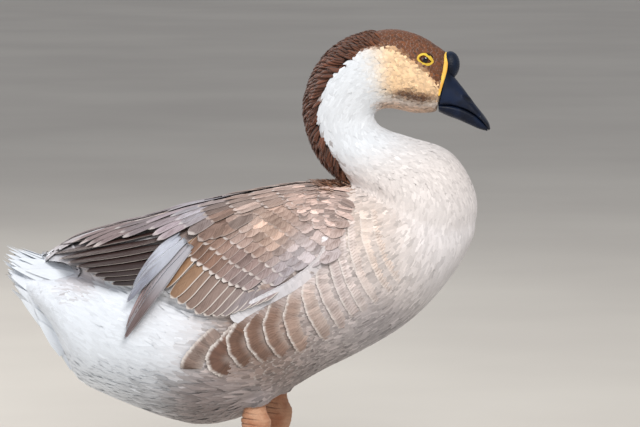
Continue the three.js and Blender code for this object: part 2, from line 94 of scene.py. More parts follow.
# Half the width of the strip between the folded wings, by x.
BACK_GAP = np.array([(-218, 0), (-205, 8), (-193, 15), (-171, 18), (-120, 12), (-60, 8), (0, 9),
                     (60, 16), (112, 24)], float)
TRUNK_SQUARE = 2.15
TRUNK_AXIS = 230  # height of the line that the trunk's turns are counted round
THIGH_X = 27
NECK_END = len(NECK) - 1  # the last neck row, where the bill begins
FACE = (10.4, 15.98)  # the neck rows between which the face's short feathers grow
RUFF = (2.2, 11.4)  # and those of the raised nape
EYE = np.array([198.5, 17.3, 482.3])
KNOB = np.array([226.4, 0, 475.5])
NOSTRIL = (246.5, 438.5)

# ------------------------------------------------------------------ shapes as whole arrays


def unit(v):
    """Vectors at length one."""
    return v / np.maximum(np.linalg.norm(v, axis=-1, keepdims=True), 1e-9)


def ramp(low, high, value):
    """0 below low, 1 above high and an S-shaped rise between."""
    t = np.clip((np.asarray(value, float) - low) / (high - low), 0, 1)
    return t * t * (3 - 2 * t)


def smoothly(ts, rows, t):
    """The table's rows at stations t: a cubic in each column, with the mean slope at each row."""
    t = np.asarray(t, float)
    slopes = np.gradient(rows, ts, axis=0)
    i = np.clip(np.searchsorted(ts, t, side="right") - 1, 0, len(ts) - 2)
    h = (ts[i + 1] - ts[i])[..., None]
    u = (t[..., None] - ts[i][..., None]) / h
    return ((1 + 2 * u) * (1 - u) ** 2 * rows[i] + u * (1 - u) ** 2 * h * slopes[i]
            + u * u * (3 - 2 * u) * rows[i + 1] + u * u * (u - 1) * h * slopes[i + 1])


def oval(section, angle, square=2.0):
    """Points of oval sections: cos(angle) runs from the centre to the back or front edge and
    sin(angle) to the side, each to the power 2/square, which fills the oval out."""
    back = np.stack([section[..., 0], 0 * section[..., 0], section[..., 1]], -1)
    front = np.stack([section[..., 2], 0 * section[..., 0], section[..., 3]], -1)
    depth = np.linalg.norm(back - front, axis=-1)
    upward = (back - front) / depth[..., None]
    wide = section[..., 5]
    c = np.sign(np.cos(angle)) * np.abs(np.cos(angle)) ** (2 / square)
    s = np.sign(np.sin(angle)) * np.abs(np.sin(angle)) ** (2 / square)
    rise = depth * (wide + c * np.where(c > 0, 1 - wide, wide))
    points = front + upward * rise[..., None]
    points[..., 1] += s * section[..., 4]
    return points


def table_rows(table):
    return np.arange(len(table), dtype=float)


def round_turn(count):
    """Angles of a full turn in even steps."""
    return np.linspace(0, 2 * np.pi, count + 1)[:-1]


def loft(table, t, angle, square=2.0):
    """Points of a table's loft at row numbers t and angles round the section."""
    t, angle = np.broadcast_arrays(t, angle)
    return oval(smoothly(table_rows(table), table, t), angle, square)


def bilinear(grid, i, j):
    """Values of a grid at fractional rows i and columns j."""
    i = np.clip(i, 0, grid.shape[0] - 1.001)
    j = np.clip(j, 0, grid.shape[1] - 1.001)
    a, b = i.astype(int), j.astype(int)
    u, v = i - a, j - b
    return ((1 - u) * (1 - v) * grid[a, b] + u * (1 - v) * grid[a + 1, b]
            + (1 - u) * v * grid[a, b + 1] + u * v * grid[a + 1, b + 1])


class Flank:
    """One side of a loft as a sheet: x runs along the bird and arc down the side from the middle
    of the back, in millimetres. Each section's arc length is found by adding up short chords."""

    COUNT = 161  # sections, and points round each
    STEP = 2  # millimetres either way over which slopes are taken

    def __init__(self, table):
        self.table = table
        self.x = np.linspace(table[0, 0], table[-1, 0], self.COUNT)
        turns = np.linspace(0, np.pi, self.COUNT)
        points = oval(smoothly(table[:, 0], table, self.x)[:, None], turns[None], TRUNK_SQUARE)
        chords = np.linalg.norm(np.diff(points, axis=1), axis=-1)
        self.arcs = np.concatenate([np.zeros((self.COUNT, 1)), np.cumsum(chords, 1)], 1)
        share = np.linspace(0, 1, self.COUNT)
        self.angles = np.array([np.interp(share, row / row[-1], turns) for row in self.arcs])

    def _row(self, x):
        return (x - self.x[0]) / (self.x[1] - self.x[0])

    def point(self, x, arc, side):
        i = self._row(x)
        whole = bilinear(self.arcs[:, -1:].repeat(2, 1), i, 0 * i)
        j = np.clip(arc / whole, 0, 1) * (self.COUNT - 1)
        inside = np.clip(x, self.x[0], self.x[-1])
        section = smoothly(self.table[:, 0], self.table, inside)
        points = oval(section, bilinear(self.angles, i, j), TRUNK_SQUARE)
        points[..., 0] += x - inside
        points[..., 1] *= side
        return points

    def normal(self, x, arc, side):
        """Square to the sheet: the cross product of its slopes along x and along arc."""
        step = self.STEP
        ahead = self.point(x + step, arc, side) - self.point(x - step, arc, side)
        down = self.point(x, arc + step, side) - self.point(x, np.maximum(arc - step, 0), side)
        return side * unit(np.cross(ahead, down))

    def arc_at(self, x, z):
        """The arc where the side passes height z."""
        x = np.clip(x, self.x[0], self.x[-1])
        section = smoothly(self.table[:, 0], self.table, x)
        depth = section[..., 1] - section[..., 3]
        rise = (z - section[..., 3]) / depth - section[..., 5]
        c = rise / np.where(rise > 0, 1 - section[..., 5], section[..., 5])
        c = np.sign(c) * np.clip(np.abs(c), 0, 1) ** (TRUNK_SQUARE / 2)
        return bilinear(self.arcs, self._row(x), np.arccos(c) / np.pi * (self.COUNT - 1))


# ------------------------------------------------------------------ meshes and materials


def read(items, field, width=1, kind=float):
    """One field of all of a mesh's items as an array."""
    values = np.empty(len(items) * width, kind)
    items.foreach_get(field, values)
    return values.reshape(-1, width) if width > 1 else values


def read_mesh(mesh):
    """A mesh's points in millimetres and its edges."""
    return read(mesh.vertices, "co", 3) / MM, read(mesh.edges, "vertices", 2, int)


def new_object(name, verts, faces, material):
    """A mesh object at the origin. Verts are in millimetres. Faces is an array of quads or of
    triangles, which are turned outwards by the sign of the volume they close off."""
    verts, faces = np.asarray(verts), np.asarray(faces)
    fans = [verts[faces[:, [0, k, k + 1]]] for k in range(1, faces.shape[1] - 1)]
    if sum((np.cross(fan[:, 0], fan[:, 1]) * fan[:, 2]).sum() for fan in fans) < 0:
        faces = faces[:, ::-1]
    mesh = bpy.data.meshes.new(name)
    mesh.vertices.add(len(verts))
    mesh.vertices.foreach_set("co", (verts * MM).ravel())
    mesh.loops.add(faces.size)
    mesh.loops.foreach_set("vertex_index", faces.ravel())
    mesh.polygons.add(len(faces))
    mesh.polygons.foreach_set("loop_start", np.arange(0, faces.size, faces.shape[1]))
    mesh.polygons.foreach_set("use_smooth", np.ones(len(faces), bool))
    mesh.update(calc_edges=True)
    mesh.validate()
    obj = bpy.data.objects.new(name, mesh)
    bpy.context.scene.collection.objects.link(obj)
    mesh.materials.append(material)
    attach(obj, "root")
    return obj


def give_uv(obj, name, uv):
    """A UV map from one point per vertex."""
    corner = read(obj.data.loops, "vertex_index", kind=int)
    layer = obj.data.uv_layers.new(name=name)
    layer.data.foreach_set("uv", uv[corner].ravel())


def give_tint(obj, colours, alpha=1.0):
    """The tint that the materials read: one colour or grey factor per vertex, and its alpha."""
    values = np.empty((len(obj.data.vertices), 4))
    values[:, :3], values[:, 3] = colours, alpha
    tint = obj.data.attributes.new("tint", "FLOAT_COLOR", "POINT")
    tint.data.foreach_set("color", values.ravel())


def grid_faces(rows, columns, round_columns=False):
    """Quads of a grid of rows x columns, closed round the columns when asked."""
    index = np.arange(rows * columns).reshape(rows, columns)
    if round_columns:
        index = np.concatenate([index, index[:, :1]], 1)
    corners = [index[:-1, :-1], index[1:, :-1], index[1:, 1:], index[:-1, 1:]]
    return np.stack(corners, -1).reshape(-1, 4)


def closed_loft(rings):
    """Rings of points closed with a fan at each end, as verts and triangles."""
    rows, columns = rings.shape[:2]
    quads = grid_faces(rows, columns, True)
    turn = np.arange(columns)
    hub = rows * columns
    first = np.stack([np.full(columns, hub), turn, np.roll(turn, -1)], 1)
    turn = turn + (rows - 1) * columns
    last = np.stack([np.full(columns, hub + 1), np.roll(turn, -1), turn], 1)
    faces = np.concatenate([quads[:, [0, 1, 2]], quads[:, [0, 2, 3]], first, last])
    return np.concatenate([rings.reshape(-1, 3), rings[[0, -1]].mean(1)]), faces


def tube_object(name, points, material):
    """A closed surface from rings of points. The end rings are repeated close to their centres."""
    ends = [end.mean(1, keepdims=True) * 0.98 + end * 0.02 for end in (points[:1], points[-1:])]
    return new_object(name, *closed_loft(np.concatenate([ends[0], points, ends[1]])), material)


def linear(colour):
    """A screen colour, given as 0 to 255, as light."""
    c = np.asarray(colour, float) / 255
    return np.where(c <= 0.04045, c / 12.92, ((c + 0.055) / 1.055) ** 2.4)


def screen(colour):
    """The reverse: a property's colour as screen values from 0 to 255."""
    c = np.array(colour[:3])
    bright = 1.055 * np.maximum(c, 0.0001) ** (1 / 2.4) - 0.055
    return 255 * np.where(c <= 0.0031308, c * 12.92, bright)


class Shader:
    """A material with a few short words for adding nodes."""

    def __init__(self, name, roughness, sheen=0.0, coat=0.0, specular=0.5):
        self.material = bpy.data.materials.new(name)
        self.material.use_nodes = True
        self.nodes = self.material.node_tree.nodes
        self.links = self.material.node_tree.links
        self.skin = self.nodes["Principled BSDF"]
        self.skin.inputs["Roughness"].default_value = roughness
        self.skin.inputs["Sheen Weight"].default_value = sheen
        self.skin.inputs["Coat Weight"].default_value = coat
        self.skin.inputs["Coat Roughness"].default_value = 0.12
        self.skin.inputs["Specular IOR Level"].default_value = specular

    def add(self, kind, **values):
        node = self.nodes.new(kind)
        for key, value in values.items():
            if hasattr(node, key):
                setattr(node, key, value)
            else:
                node.inputs[key.replace("_", " ")].default_value = value
        return node

    def link(self, source, target, out=0):
        self.links.new(source.outputs[out], target.inputs[0])
        return target

    def maths(self, operation, a, b):
        """One step of arithmetic between two nodes or numbers."""
        node = self.add("ShaderNodeMath", operation=operation)
        for i, value in enumerate((a, b)):
            if isinstance(value, (int, float)):
                node.inputs[i].default_value = value
            else:
                self.links.new(value, node.inputs[i])
        return node.outputs[0]

    def blend(self, factor, a, b, mode="MIX"):
        """Two colours mixed by a factor; each is a socket or a colour."""
        node = self.add("ShaderNodeMix", data_type="RGBA", blend_type=mode)
        for i, value in zip((0, 6, 7), (factor, a, b)):
            if isinstance(value, (int, float)):
                node.inputs[i].default_value = value
            elif isinstance(value, (tuple, list, np.ndarray)):
                node.inputs[i].default_value = (*value[:3], 1)
            else:
                self.links.new(value, node.inputs[i])
        return node.outputs[2]

    def noise(self, scale, detail=3.0, where=None):
        node = self.add("ShaderNodeTexNoise", Scale=scale, Detail=detail)
        place = where or self.add("ShaderNodeTexCoord").outputs["Object"]
        self.links.new(place, node.inputs["Vector"])
        return node.outputs["Fac"]

    def steps(self, value, low, high):
        """0 to 1 as value runs from low to high."""
        node = self.add("ShaderNodeMapRange", interpolation_type="SMOOTHSTEP")
        node.inputs["From Min"].default_value = low
        node.inputs["From Max"].default_value = high
        self.links.new(value, node.inputs["Value"])
        return node.outputs["Result"]

    def colour(self, socket):
        self.links.new(socket, self.skin.inputs["Base Color"])

    def rough(self, socket):
        self.links.new(socket, self.skin.inputs["Roughness"])

    def bump(self, height, strength, distance):
        node = self.add("ShaderNodeBump", Strength=strength, Distance=distance)
        self.links.new(height, node.inputs["Height"])
        self.links.new(node.outputs["Normal"], self.skin.inputs["Normal"])


# ------------------------------------------------------------------ the lie and the markings


def over(base, share, other):
    """Rows of one array mixed with another's by each row's share."""
    return base * (1 - share[:, None]) + share[:, None] * other


def patch(value, centre, reach):
    """A bell curve round a centre: e to the power of minus the squared distance in reaches."""
    return np.exp(-(((value - np.array(centre)) / reach) ** 2).sum(-1))


def along_neck(points):
    """The row number of the nearest neck section in the side view, how far across it from nape (0)
    to throat (1) the point lies, and its distance from that section."""
    stations, block_size = 257, 20000
    t = np.linspace(0, NECK_END, stations)
    sections = smoothly(table_rows(NECK), NECK, t)
    back, line = sections[:, [0, 1]], sections[:, [2, 3]] - sections[:, [0, 1]]
    station, share, away = [], [], []
    for block in np.array_split(points[:, [0, 2]], max(1, len(points) // block_size)):
        across = ((block @ line.T) - (back * line).sum(-1)) / (line ** 2).sum(-1)
        across = np.clip(across, 0, 1)
        near = back + across[..., None] * line
        gap = np.linalg.norm(block[:, None] - near, axis=-1)
        best = gap.argmin(1)
        pick = np.arange(len(block)), best
        station.append(t[best])
        share.append(across[pick])
        away.append(gap[pick])
    return np.concatenate(station), np.concatenate(share), np.concatenate(away)


def on_neck(station, away):
    """1 where a point belongs to the neck or head and 0 on the trunk."""
    return ramp(0.6, 3.2, station) * (1 - ramp(8, 26, away))


# The slope of the trunk's feathers in degrees, by x.
PITCH = np.array([(-254, 28), (-150, 24), (-60, 16), (10, 4), (60, -6), (120, -14), (165, -34),
                  (205, -66), (240, -86)], float)


def lie(points):
    """The way the feathers point: down the neck from the bill, straight down the front of the
    breast, level along the flank and up towards the tail."""
    station, share, away = along_neck(points)
    middle = smoothly(table_rows(NECK), NECK, np.clip(station + [[-0.4], [0.4]], 0, NECK_END))
    middle = (middle[..., [0, 1]] + middle[..., [2, 3]]) / 2
    back = unit(middle[0] - middle[1])
    neck = np.stack([back[:, 0], 0 * away, back[:, 1]], -1)
    pitch = np.radians(np.interp(points[:, 0], *PITCH.T))
    trunk = np.stack([-np.cos(pitch), 0 * pitch, np.sin(pitch)], -1)
    leg = (1 - ramp(100, 128, points[:, 2])) * (1 - ramp(22, 34, np.abs(points[:, 0] - THIGH_X)))
    blend = on_neck(station, away)
    return unit(over(over(trunk, leg, [-0.35, 0, -1]), blend, neck)), station, share, blend


# How far the brown of crown and nape reaches from the nape towards the throat, by neck section.
BROWN_EDGE = np.array([
    (1.6, 0.0), (2.2, 0.06), (3.1, 0.1), (4.2, 0.18), (4.8, 0.21), (5.6, 0.22), (6.9, 0.235),
    (7.5, 0.225), (8.1, 0.25), (8.7, 0.26), (9.4, 0.295), (10.2, 0.27), (10.8, 0.2), (11.4, 0.205),
    (12.3, 0.23), (12.7, 0.27), (13.2, 0.31), (13.6, 0.38), (14.2, 0.37), (14.9, 0.45),
    (15.6, 0.54), (16, 0.6)])
# Shades of the coat: where each is centred in the side view (x, z), how far it reaches, and how
# strongly it tells against its neighbours.
SHADES = [
    ("rear", (-150, 190), 85, 1.6, (226, 232, 240)), ("side", (-42, 200), 42, 1.9, (228, 232, 240)),
    ("vent", (-95, 148), 34, 1.2, (214, 220, 228)), ("rump", (-170, 262), 50, 0.8, (206, 208, 216)),
    ("under wing", (-152, 244), 20, 1.6, (140, 120, 116)),
    # The belly's shade is its grey-brown, darkened further as painted shade on the underside.
    ("belly", (-12, 102), 36, 1.4, (104, 90, 88)),
    ("under belly", (-72, 112), 30, 1.0, (158, 160, 166)),
    ("thigh", (25, 112), 36, 1.4, (174, 168, 172)), ("flank", (25, 180), 45, 1.2, (132, 108, 96)),
    ("keel", (90, 140), 42, 1.1, (148, 142, 144)),
    ("breast side", (120, 230), 50, 1.0, (184, 173, 171)),
    ("ribs front", (162, 282), 34, 1.2, (190, 180, 175)),
    ("mantle", (70, 335), 42, 1.2, (170, 146, 136)),
    ("shoulder", (150, 315), 30, 1.1, (200, 178, 163)),
    ("low breast", (160, 195), 34, 1.1, (167, 164, 169)),
    ("front", (235, 300), 60, 1.3, (220, 217, 220)),
    ("crop", (195, 345), 50, 1.2, (213, 206, 203)), ("back", (-30, 325), 60, 1.2, (156, 134, 126)),
    ("saddle", (-168, 286), 26, 3.0, (116, 102, 104))]
# Shades of the folded wing, in the same way.
WING_SHADES = [
    ("golden", (-72, 254), 20, 1.4, (158, 120, 86)),
    ("quills", (-44, 226), 18, 1.2, (136, 116, 108)),
    ("grey quills", (-14, 221), 18, 1.2, (146, 138, 142)),
    ("greater", (-50, 268), 16, 1.3, (112, 82, 68)),
    ("middle", (-30, 279), 16, 1.0, (146, 120, 106)),
    ("brown", (-10, 266), 20, 1.0, (142, 120, 116)),
    ("dark", (-40, 308), 18, 1.5, (108, 82, 68)), ("upper", (-6, 302), 20, 1.0, (178, 162, 156)),
    ("buff", (20, 300), 24, 1.0, (190, 160, 140)), ("tan", (16, 278), 18, 1.0, (172, 144, 130)),
    ("low", (6, 244), 16, 1.0, (144, 126, 124)), ("lilac", (36, 256), 18, 1.1, (168, 162, 170)),
    ("pale", (62, 272), 24, 1.2, (188, 180, 184)), ("bend", (84, 300), 22, 1.0, (190, 168, 160)),
    ("ridge", (-70, 316), 22, 1.2, (170, 168, 178)),
    ("mauve", (-120, 300), 36, 1.1, (132, 120, 126)),
    ("hind", (-180, 286), 36, 1.1, (110, 92, 92)), ("top", (30, 335), 34, 1.1, (172, 148, 138))]


def shades_at(side_view, table):
    """The table's shades mixed by nearness at points of the side view."""
    weights = np.stack([gain * patch(side_view, at, reach) + 1e-9
                        for _, at, reach, gain, _ in table], -1)
    shades = np.array([shade for *_, shade in table], float)
    return weights @ shades / weights.sum(-1, keepdims=True)


def brown_reach(station):
    return np.interp(station, *BROWN_EDGE.T, left=0)


def coat_colours(points, station, share, blend, seed=1, grain=0.07):
    """Colours by place. The trunk mixes its shades by nearness. The neck is white with the brown
    stripe, a buff cheek, a rosy throat and a dark chin spot. Each point strays a little in value,
    by grain, and most where the coat is dark."""
    settings = bpy.context.scene.goose_coat
    side_view = points[:, [0, 2]]
    trunk = shades_at(side_view, SHADES)
    rng = np.random.default_rng(seed)
    stray = rng.normal(size=(len(points), 2))
    neck = np.array([215, 219, 224.0]) + 0 * points
    neck = over(neck, 1 - ramp(2.5, 5.5, station), [216, 209, 206])
    cheek = ramp(10.4, 12.4, station) * (1 - ramp(0.72, 0.92, share)) * 0.95
    neck = over(neck, cheek, [232, 194, 150])
    throat = ramp(10, 11.5, station) * ramp(0.82, 0.95, share) * 0.75
    neck = over(neck, throat, [174, 132, 100])
    chin = patch(side_view, (200, 439.5), (13, 5)) + 0.8 * patch(side_view, (182, 444), (12, 5))
    neck = over(neck, np.clip(chin, 0, 1) * 0.95, [62, 34, 16])
    reach = brown_reach(station)
    soft = 0.025 + 0.03 * ramp(10.8, 12.4, station)
    brown = 1 - ramp(-soft, soft, share - reach + 0.014 * np.clip(stray[:, 0], -1, 1))
    brown *= ramp(1.4, 2.6, station + 0.25 * stray[:, 1])
    crown, nape = screen(settings.crown), screen(settings.nape)
    dark = crown + (nape - crown) * ramp(12.5, 9.5, station)[:, None]
    dark = over(dark, 1 - ramp(2.4, 4.4, station), [150, 96, 62])
    colour = over(trunk, blend, over(neck, brown, dark))
    grain = grain * (0.25 + 1.2 * ramp(235, 150, colour.mean(1, keepdims=True)))
    return linear(np.clip(colour * (1 + grain * stray[:, :1]), 0, 255))


def unwrap(points, station, share, blend):
    """The skin laid flat: the trunk by x and turn round its axis, the neck beside it by section
    and turn."""
    turn = np.arctan2(points[:, 1], points[:, 2] - TRUNK_AXIS) / (2 * np.pi) + 0.5
    trunk = np.stack([0.03 + 0.55 * (points[:, 0] + 270) / 540, 0.03 + 0.94 * turn], -1)
    side = np.where(points[:, 1] < 0, 0.5 - share / 2, 0.5 + share / 2)
    neck = np.stack([0.62 + 0.35 * station / NECK_END, 0.03 + 0.94 * side], -1)
    return np.where(blend[:, None] > 0.5, neck, trunk)


# ------------------------------------------------------------------ the skin


def coat_depth(points, station, blend):
    """How deep the plumage lies over the skin: thin on the face, deepest on belly and rear."""
    neck = 3.2 - 1.9 * ramp(9.5, 13, station)
    trunk = 6.5 - 2.0 * ramp(60, 200, points[:, 0]) + 1.5 * ramp(-60, -200, points[:, 0])
    trunk *= 1 - 0.45 * (1 - ramp(105, 150, points[:, 2])) * (np.abs(points[:, 0] - THIGH_X) < 45)
    tip = ramp(-150, -215, points[:, 0]) * ramp(222, 245, points[:, 2])
    trunk = trunk * (1 - tip) + 2.2 * tip
    return blend * neck + (1 - blend) * trunk


def neighbours(edges, count):
    """One row per vertex: itself and up to seven vertices joined to it, filled up with itself."""
    most = 7
    pairs = np.concatenate([edges, edges[:, ::-1]])
    pairs = pairs[np.argsort(pairs[:, 0], kind="stable")]
    start = np.searchsorted(pairs[:, 0], np.arange(count))
    rank = np.arange(len(pairs)) - start[pairs[:, 0]]
    keep = rank < most
    ring = np.repeat(np.arange(count)[:, None], most + 1, 1)
    ring[pairs[keep, 0], rank[keep] + 1] = pairs[keep, 1]
    return ring


class Ground:
    """The skin as a lookup in cells 4 mm wide. A point is walked to its nearest skin vertex and
    laid on the tangent planes there, weighted by nearness."""

    CELL = 4.0
    SPREADINGS = 60  # times that the filled cells are copied into the empty ones beside them
    WALK = 4  # steps from a cell's vertex to the nearest one
    REACH = 14  # square millimetres over which a vertex's plane tells

    def __init__(self, verts, normals, ring, depth):
        self.verts, self.normals, self.ring, self.depth = verts, normals, ring, depth
        self.low = verts.min(0) - 8 * self.CELL
        shape = ((verts.max(0) - self.low) / self.CELL).astype(int) + 9
        near = np.full(shape, -1)
        near[tuple(((verts - self.low) / self.CELL).astype(int).T)] = np.arange(len(verts))
        for turn in range(self.SPREADINGS):
            moved = np.roll(near, 1 if turn % 2 else -1, turn // 2 % 3)
            near = np.where(near < 0, moved, near)
        self.near = near

    def vertex(self, points):
        """The nearest skin vertex to each point."""
        cell = ((points - self.low) / self.CELL).astype(int)
        cell = np.clip(cell, 0, np.array(self.near.shape) - 1)
        now = np.maximum(self.near[tuple(cell.T)], 0)
        for _ in range(self.WALK):
            around = self.ring[now]
            gap = ((self.verts[around] - points[:, None]) ** 2).sum(-1)
            now = around[np.arange(len(now)), gap.argmin(1)]
        return now

    def land(self, points):
        """Feet of the points on the skin, the normals there and the coat's depth."""
        shape = points.shape
        points = points.reshape(-1, 3)
        around = self.ring[self.vertex(points)]
        gap = points[:, None] - self.verts[around]
        flat = gap - (gap * self.normals[around]).sum(-1, keepdims=True) * self.normals[around]
        weight = np.exp(-(flat ** 2).sum(-1) / self.REACH)
        weight = (weight / np.maximum(weight.sum(1, keepdims=True), 1e-12))[..., None]
        foot = (weight * (flat + self.verts[around])).sum(1)
        normal = unit((weight * self.normals[around]).sum(1))
        depth = (weight[..., 0] * self.depth[around]).sum(1)
        return foot.reshape(shape), normal.reshape(shape), depth.reshape(shape[:-1])


def node_copy(name):
    """A CAD node's triangles as verts and faces in millimetres."""
    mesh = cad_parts[name].data
    faces = read(mesh.loops, "vertex_index", kind=int)
    whole, index = np.unique(np.round(read_mesh(mesh)[0], 3), axis=0, return_inverse=True)
    return whole, index.ravel()[faces].reshape(-1, 3)


def settle(values, ring, times):
    """Each value moved halfway to its neighbours' mean, several times."""
    for _ in range(times):
        values = 0.5 * values + 0.5 * values[ring].mean(1)
    return values


LIMBS = ["thigh_right", "thigh_left", "wing_right", "wing_left"]
FLESH = ["trunk_rump", "trunk_belly", "trunk_breast", "neck_lower", "neck_middle", "neck_upper",
         "head"] + LIMBS
MODEL = {}  # the skin as a ground, and its vertices' station, share and blend


def build_ground():
    """Trunk and neck lofts and copies of the thighs and wings are grown together at voxel size,
    settled smooth, and sunk inwards by the coat's depth."""
    settings = bpy.context.scene.goose_skin
    turn = round_turn(96)
    trunk_rows = np.linspace(0, len(TRUNK) - 1, 120)[:, None]
    neck_rows = np.linspace(0, NECK_END, 150)[:, None]
    parts = [closed_loft(loft(TRUNK, trunk_rows, turn, TRUNK_SQUARE)),
             closed_loft(loft(NECK, neck_rows, turn))]
    parts += [node_copy(name) for name in LIMBS + ["primaries_right", "primaries_left"]]
    start = np.cumsum([0] + [len(verts) for verts, _ in parts])
    verts = np.concatenate([verts for verts, _ in parts])
    faces = np.concatenate([faces + at for (_, faces), at in zip(parts, start)])
    skin = new_object("goose_skin", verts, faces, skin_material())
    remesh = skin.modifiers.new("grown together", "REMESH")
    remesh.mode = "VOXEL"
    remesh.voxel_size = settings.voxel
    graph = bpy.context.evaluated_depsgraph_get()
    mesh = bpy.data.meshes.new_from_object(skin.evaluated_get(graph))
    skin.modifiers.clear()
    skin.data = mesh
    verts, edges = read_mesh(mesh)
    ring = neighbours(edges, len(verts))
    station, _, away = along_neck(verts)
    blend = on_neck(station, away)
    depth = coat_depth(verts, station, blend) * settings.coat_depth
    head = blend * ramp(8.5, 10.5, station)
    verts = over(settle(verts, ring, 10), head, settle(verts, ring, 3))
    mesh.vertices.foreach_set("co", (verts * MM).ravel())
    mesh.update()
    normals = unit(settle(read(mesh.vertices, "normal", 3), ring, 4))
    depth = settle(depth, ring, 6)
    verts = verts - normals * depth[:, None]
    mesh.vertices.foreach_set("co", (verts * MM).ravel())
    mesh.polygons.foreach_set("use_smooth", np.ones(len(mesh.polygons), bool))
    mesh.update()
    _, station, share, blend = lie(verts)
    # The skin's tint is the coat's colour darkened by a fifth: painted shade under the feathers,
    # seen in the gaps between them.
    give_tint(skin, coat_colours(verts, station, share, blend, grain=0.02) * 0.8)
    give_uv(skin, "OFBake", unwrap(verts, station, share, blend))
    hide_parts(*FLESH)
    MODEL.update(ground=Ground(verts, normals, ring, depth), station=station, share=share,
                 blend=blend)


def skin_material():
    """Down: the tint, which is the coat's colour darkened as painted shade, mottled, with a soft
    grain in relief.
    """
    shade = Shader("Down", 0.9, sheen=0.2)
    tint = shade.add("ShaderNodeAttribute", attribute_name="tint")
    mottle = shade.steps(shade.noise(260), 0.3, 0.75)
    shade.colour(shade.blend(mottle, tint.outputs["Color"], (0.5, 0.45, 0.42), "SOFT_LIGHT"))
    shade.bump(shade.noise(900), 0.35, 0.001)
    return shade.material


# ------------------------------------------------------------------ vanes


def vane_width(u, root, tip, blunt=0.6, bow=0.5):
    """Full width from a third of the length on, a narrower root, and from blunt on a tip that is
    round where bow is a half and runs to a point where it is near one."""
    swell = root + (1 - root) * ramp(0, 0.38, u)
    end = np.clip(1 - (np.clip(u - blunt, 0, 1) / (1 - blunt)) ** (1 / bow), 0, 1) ** bow
    return swell * (tip + (1 - tip) * end)


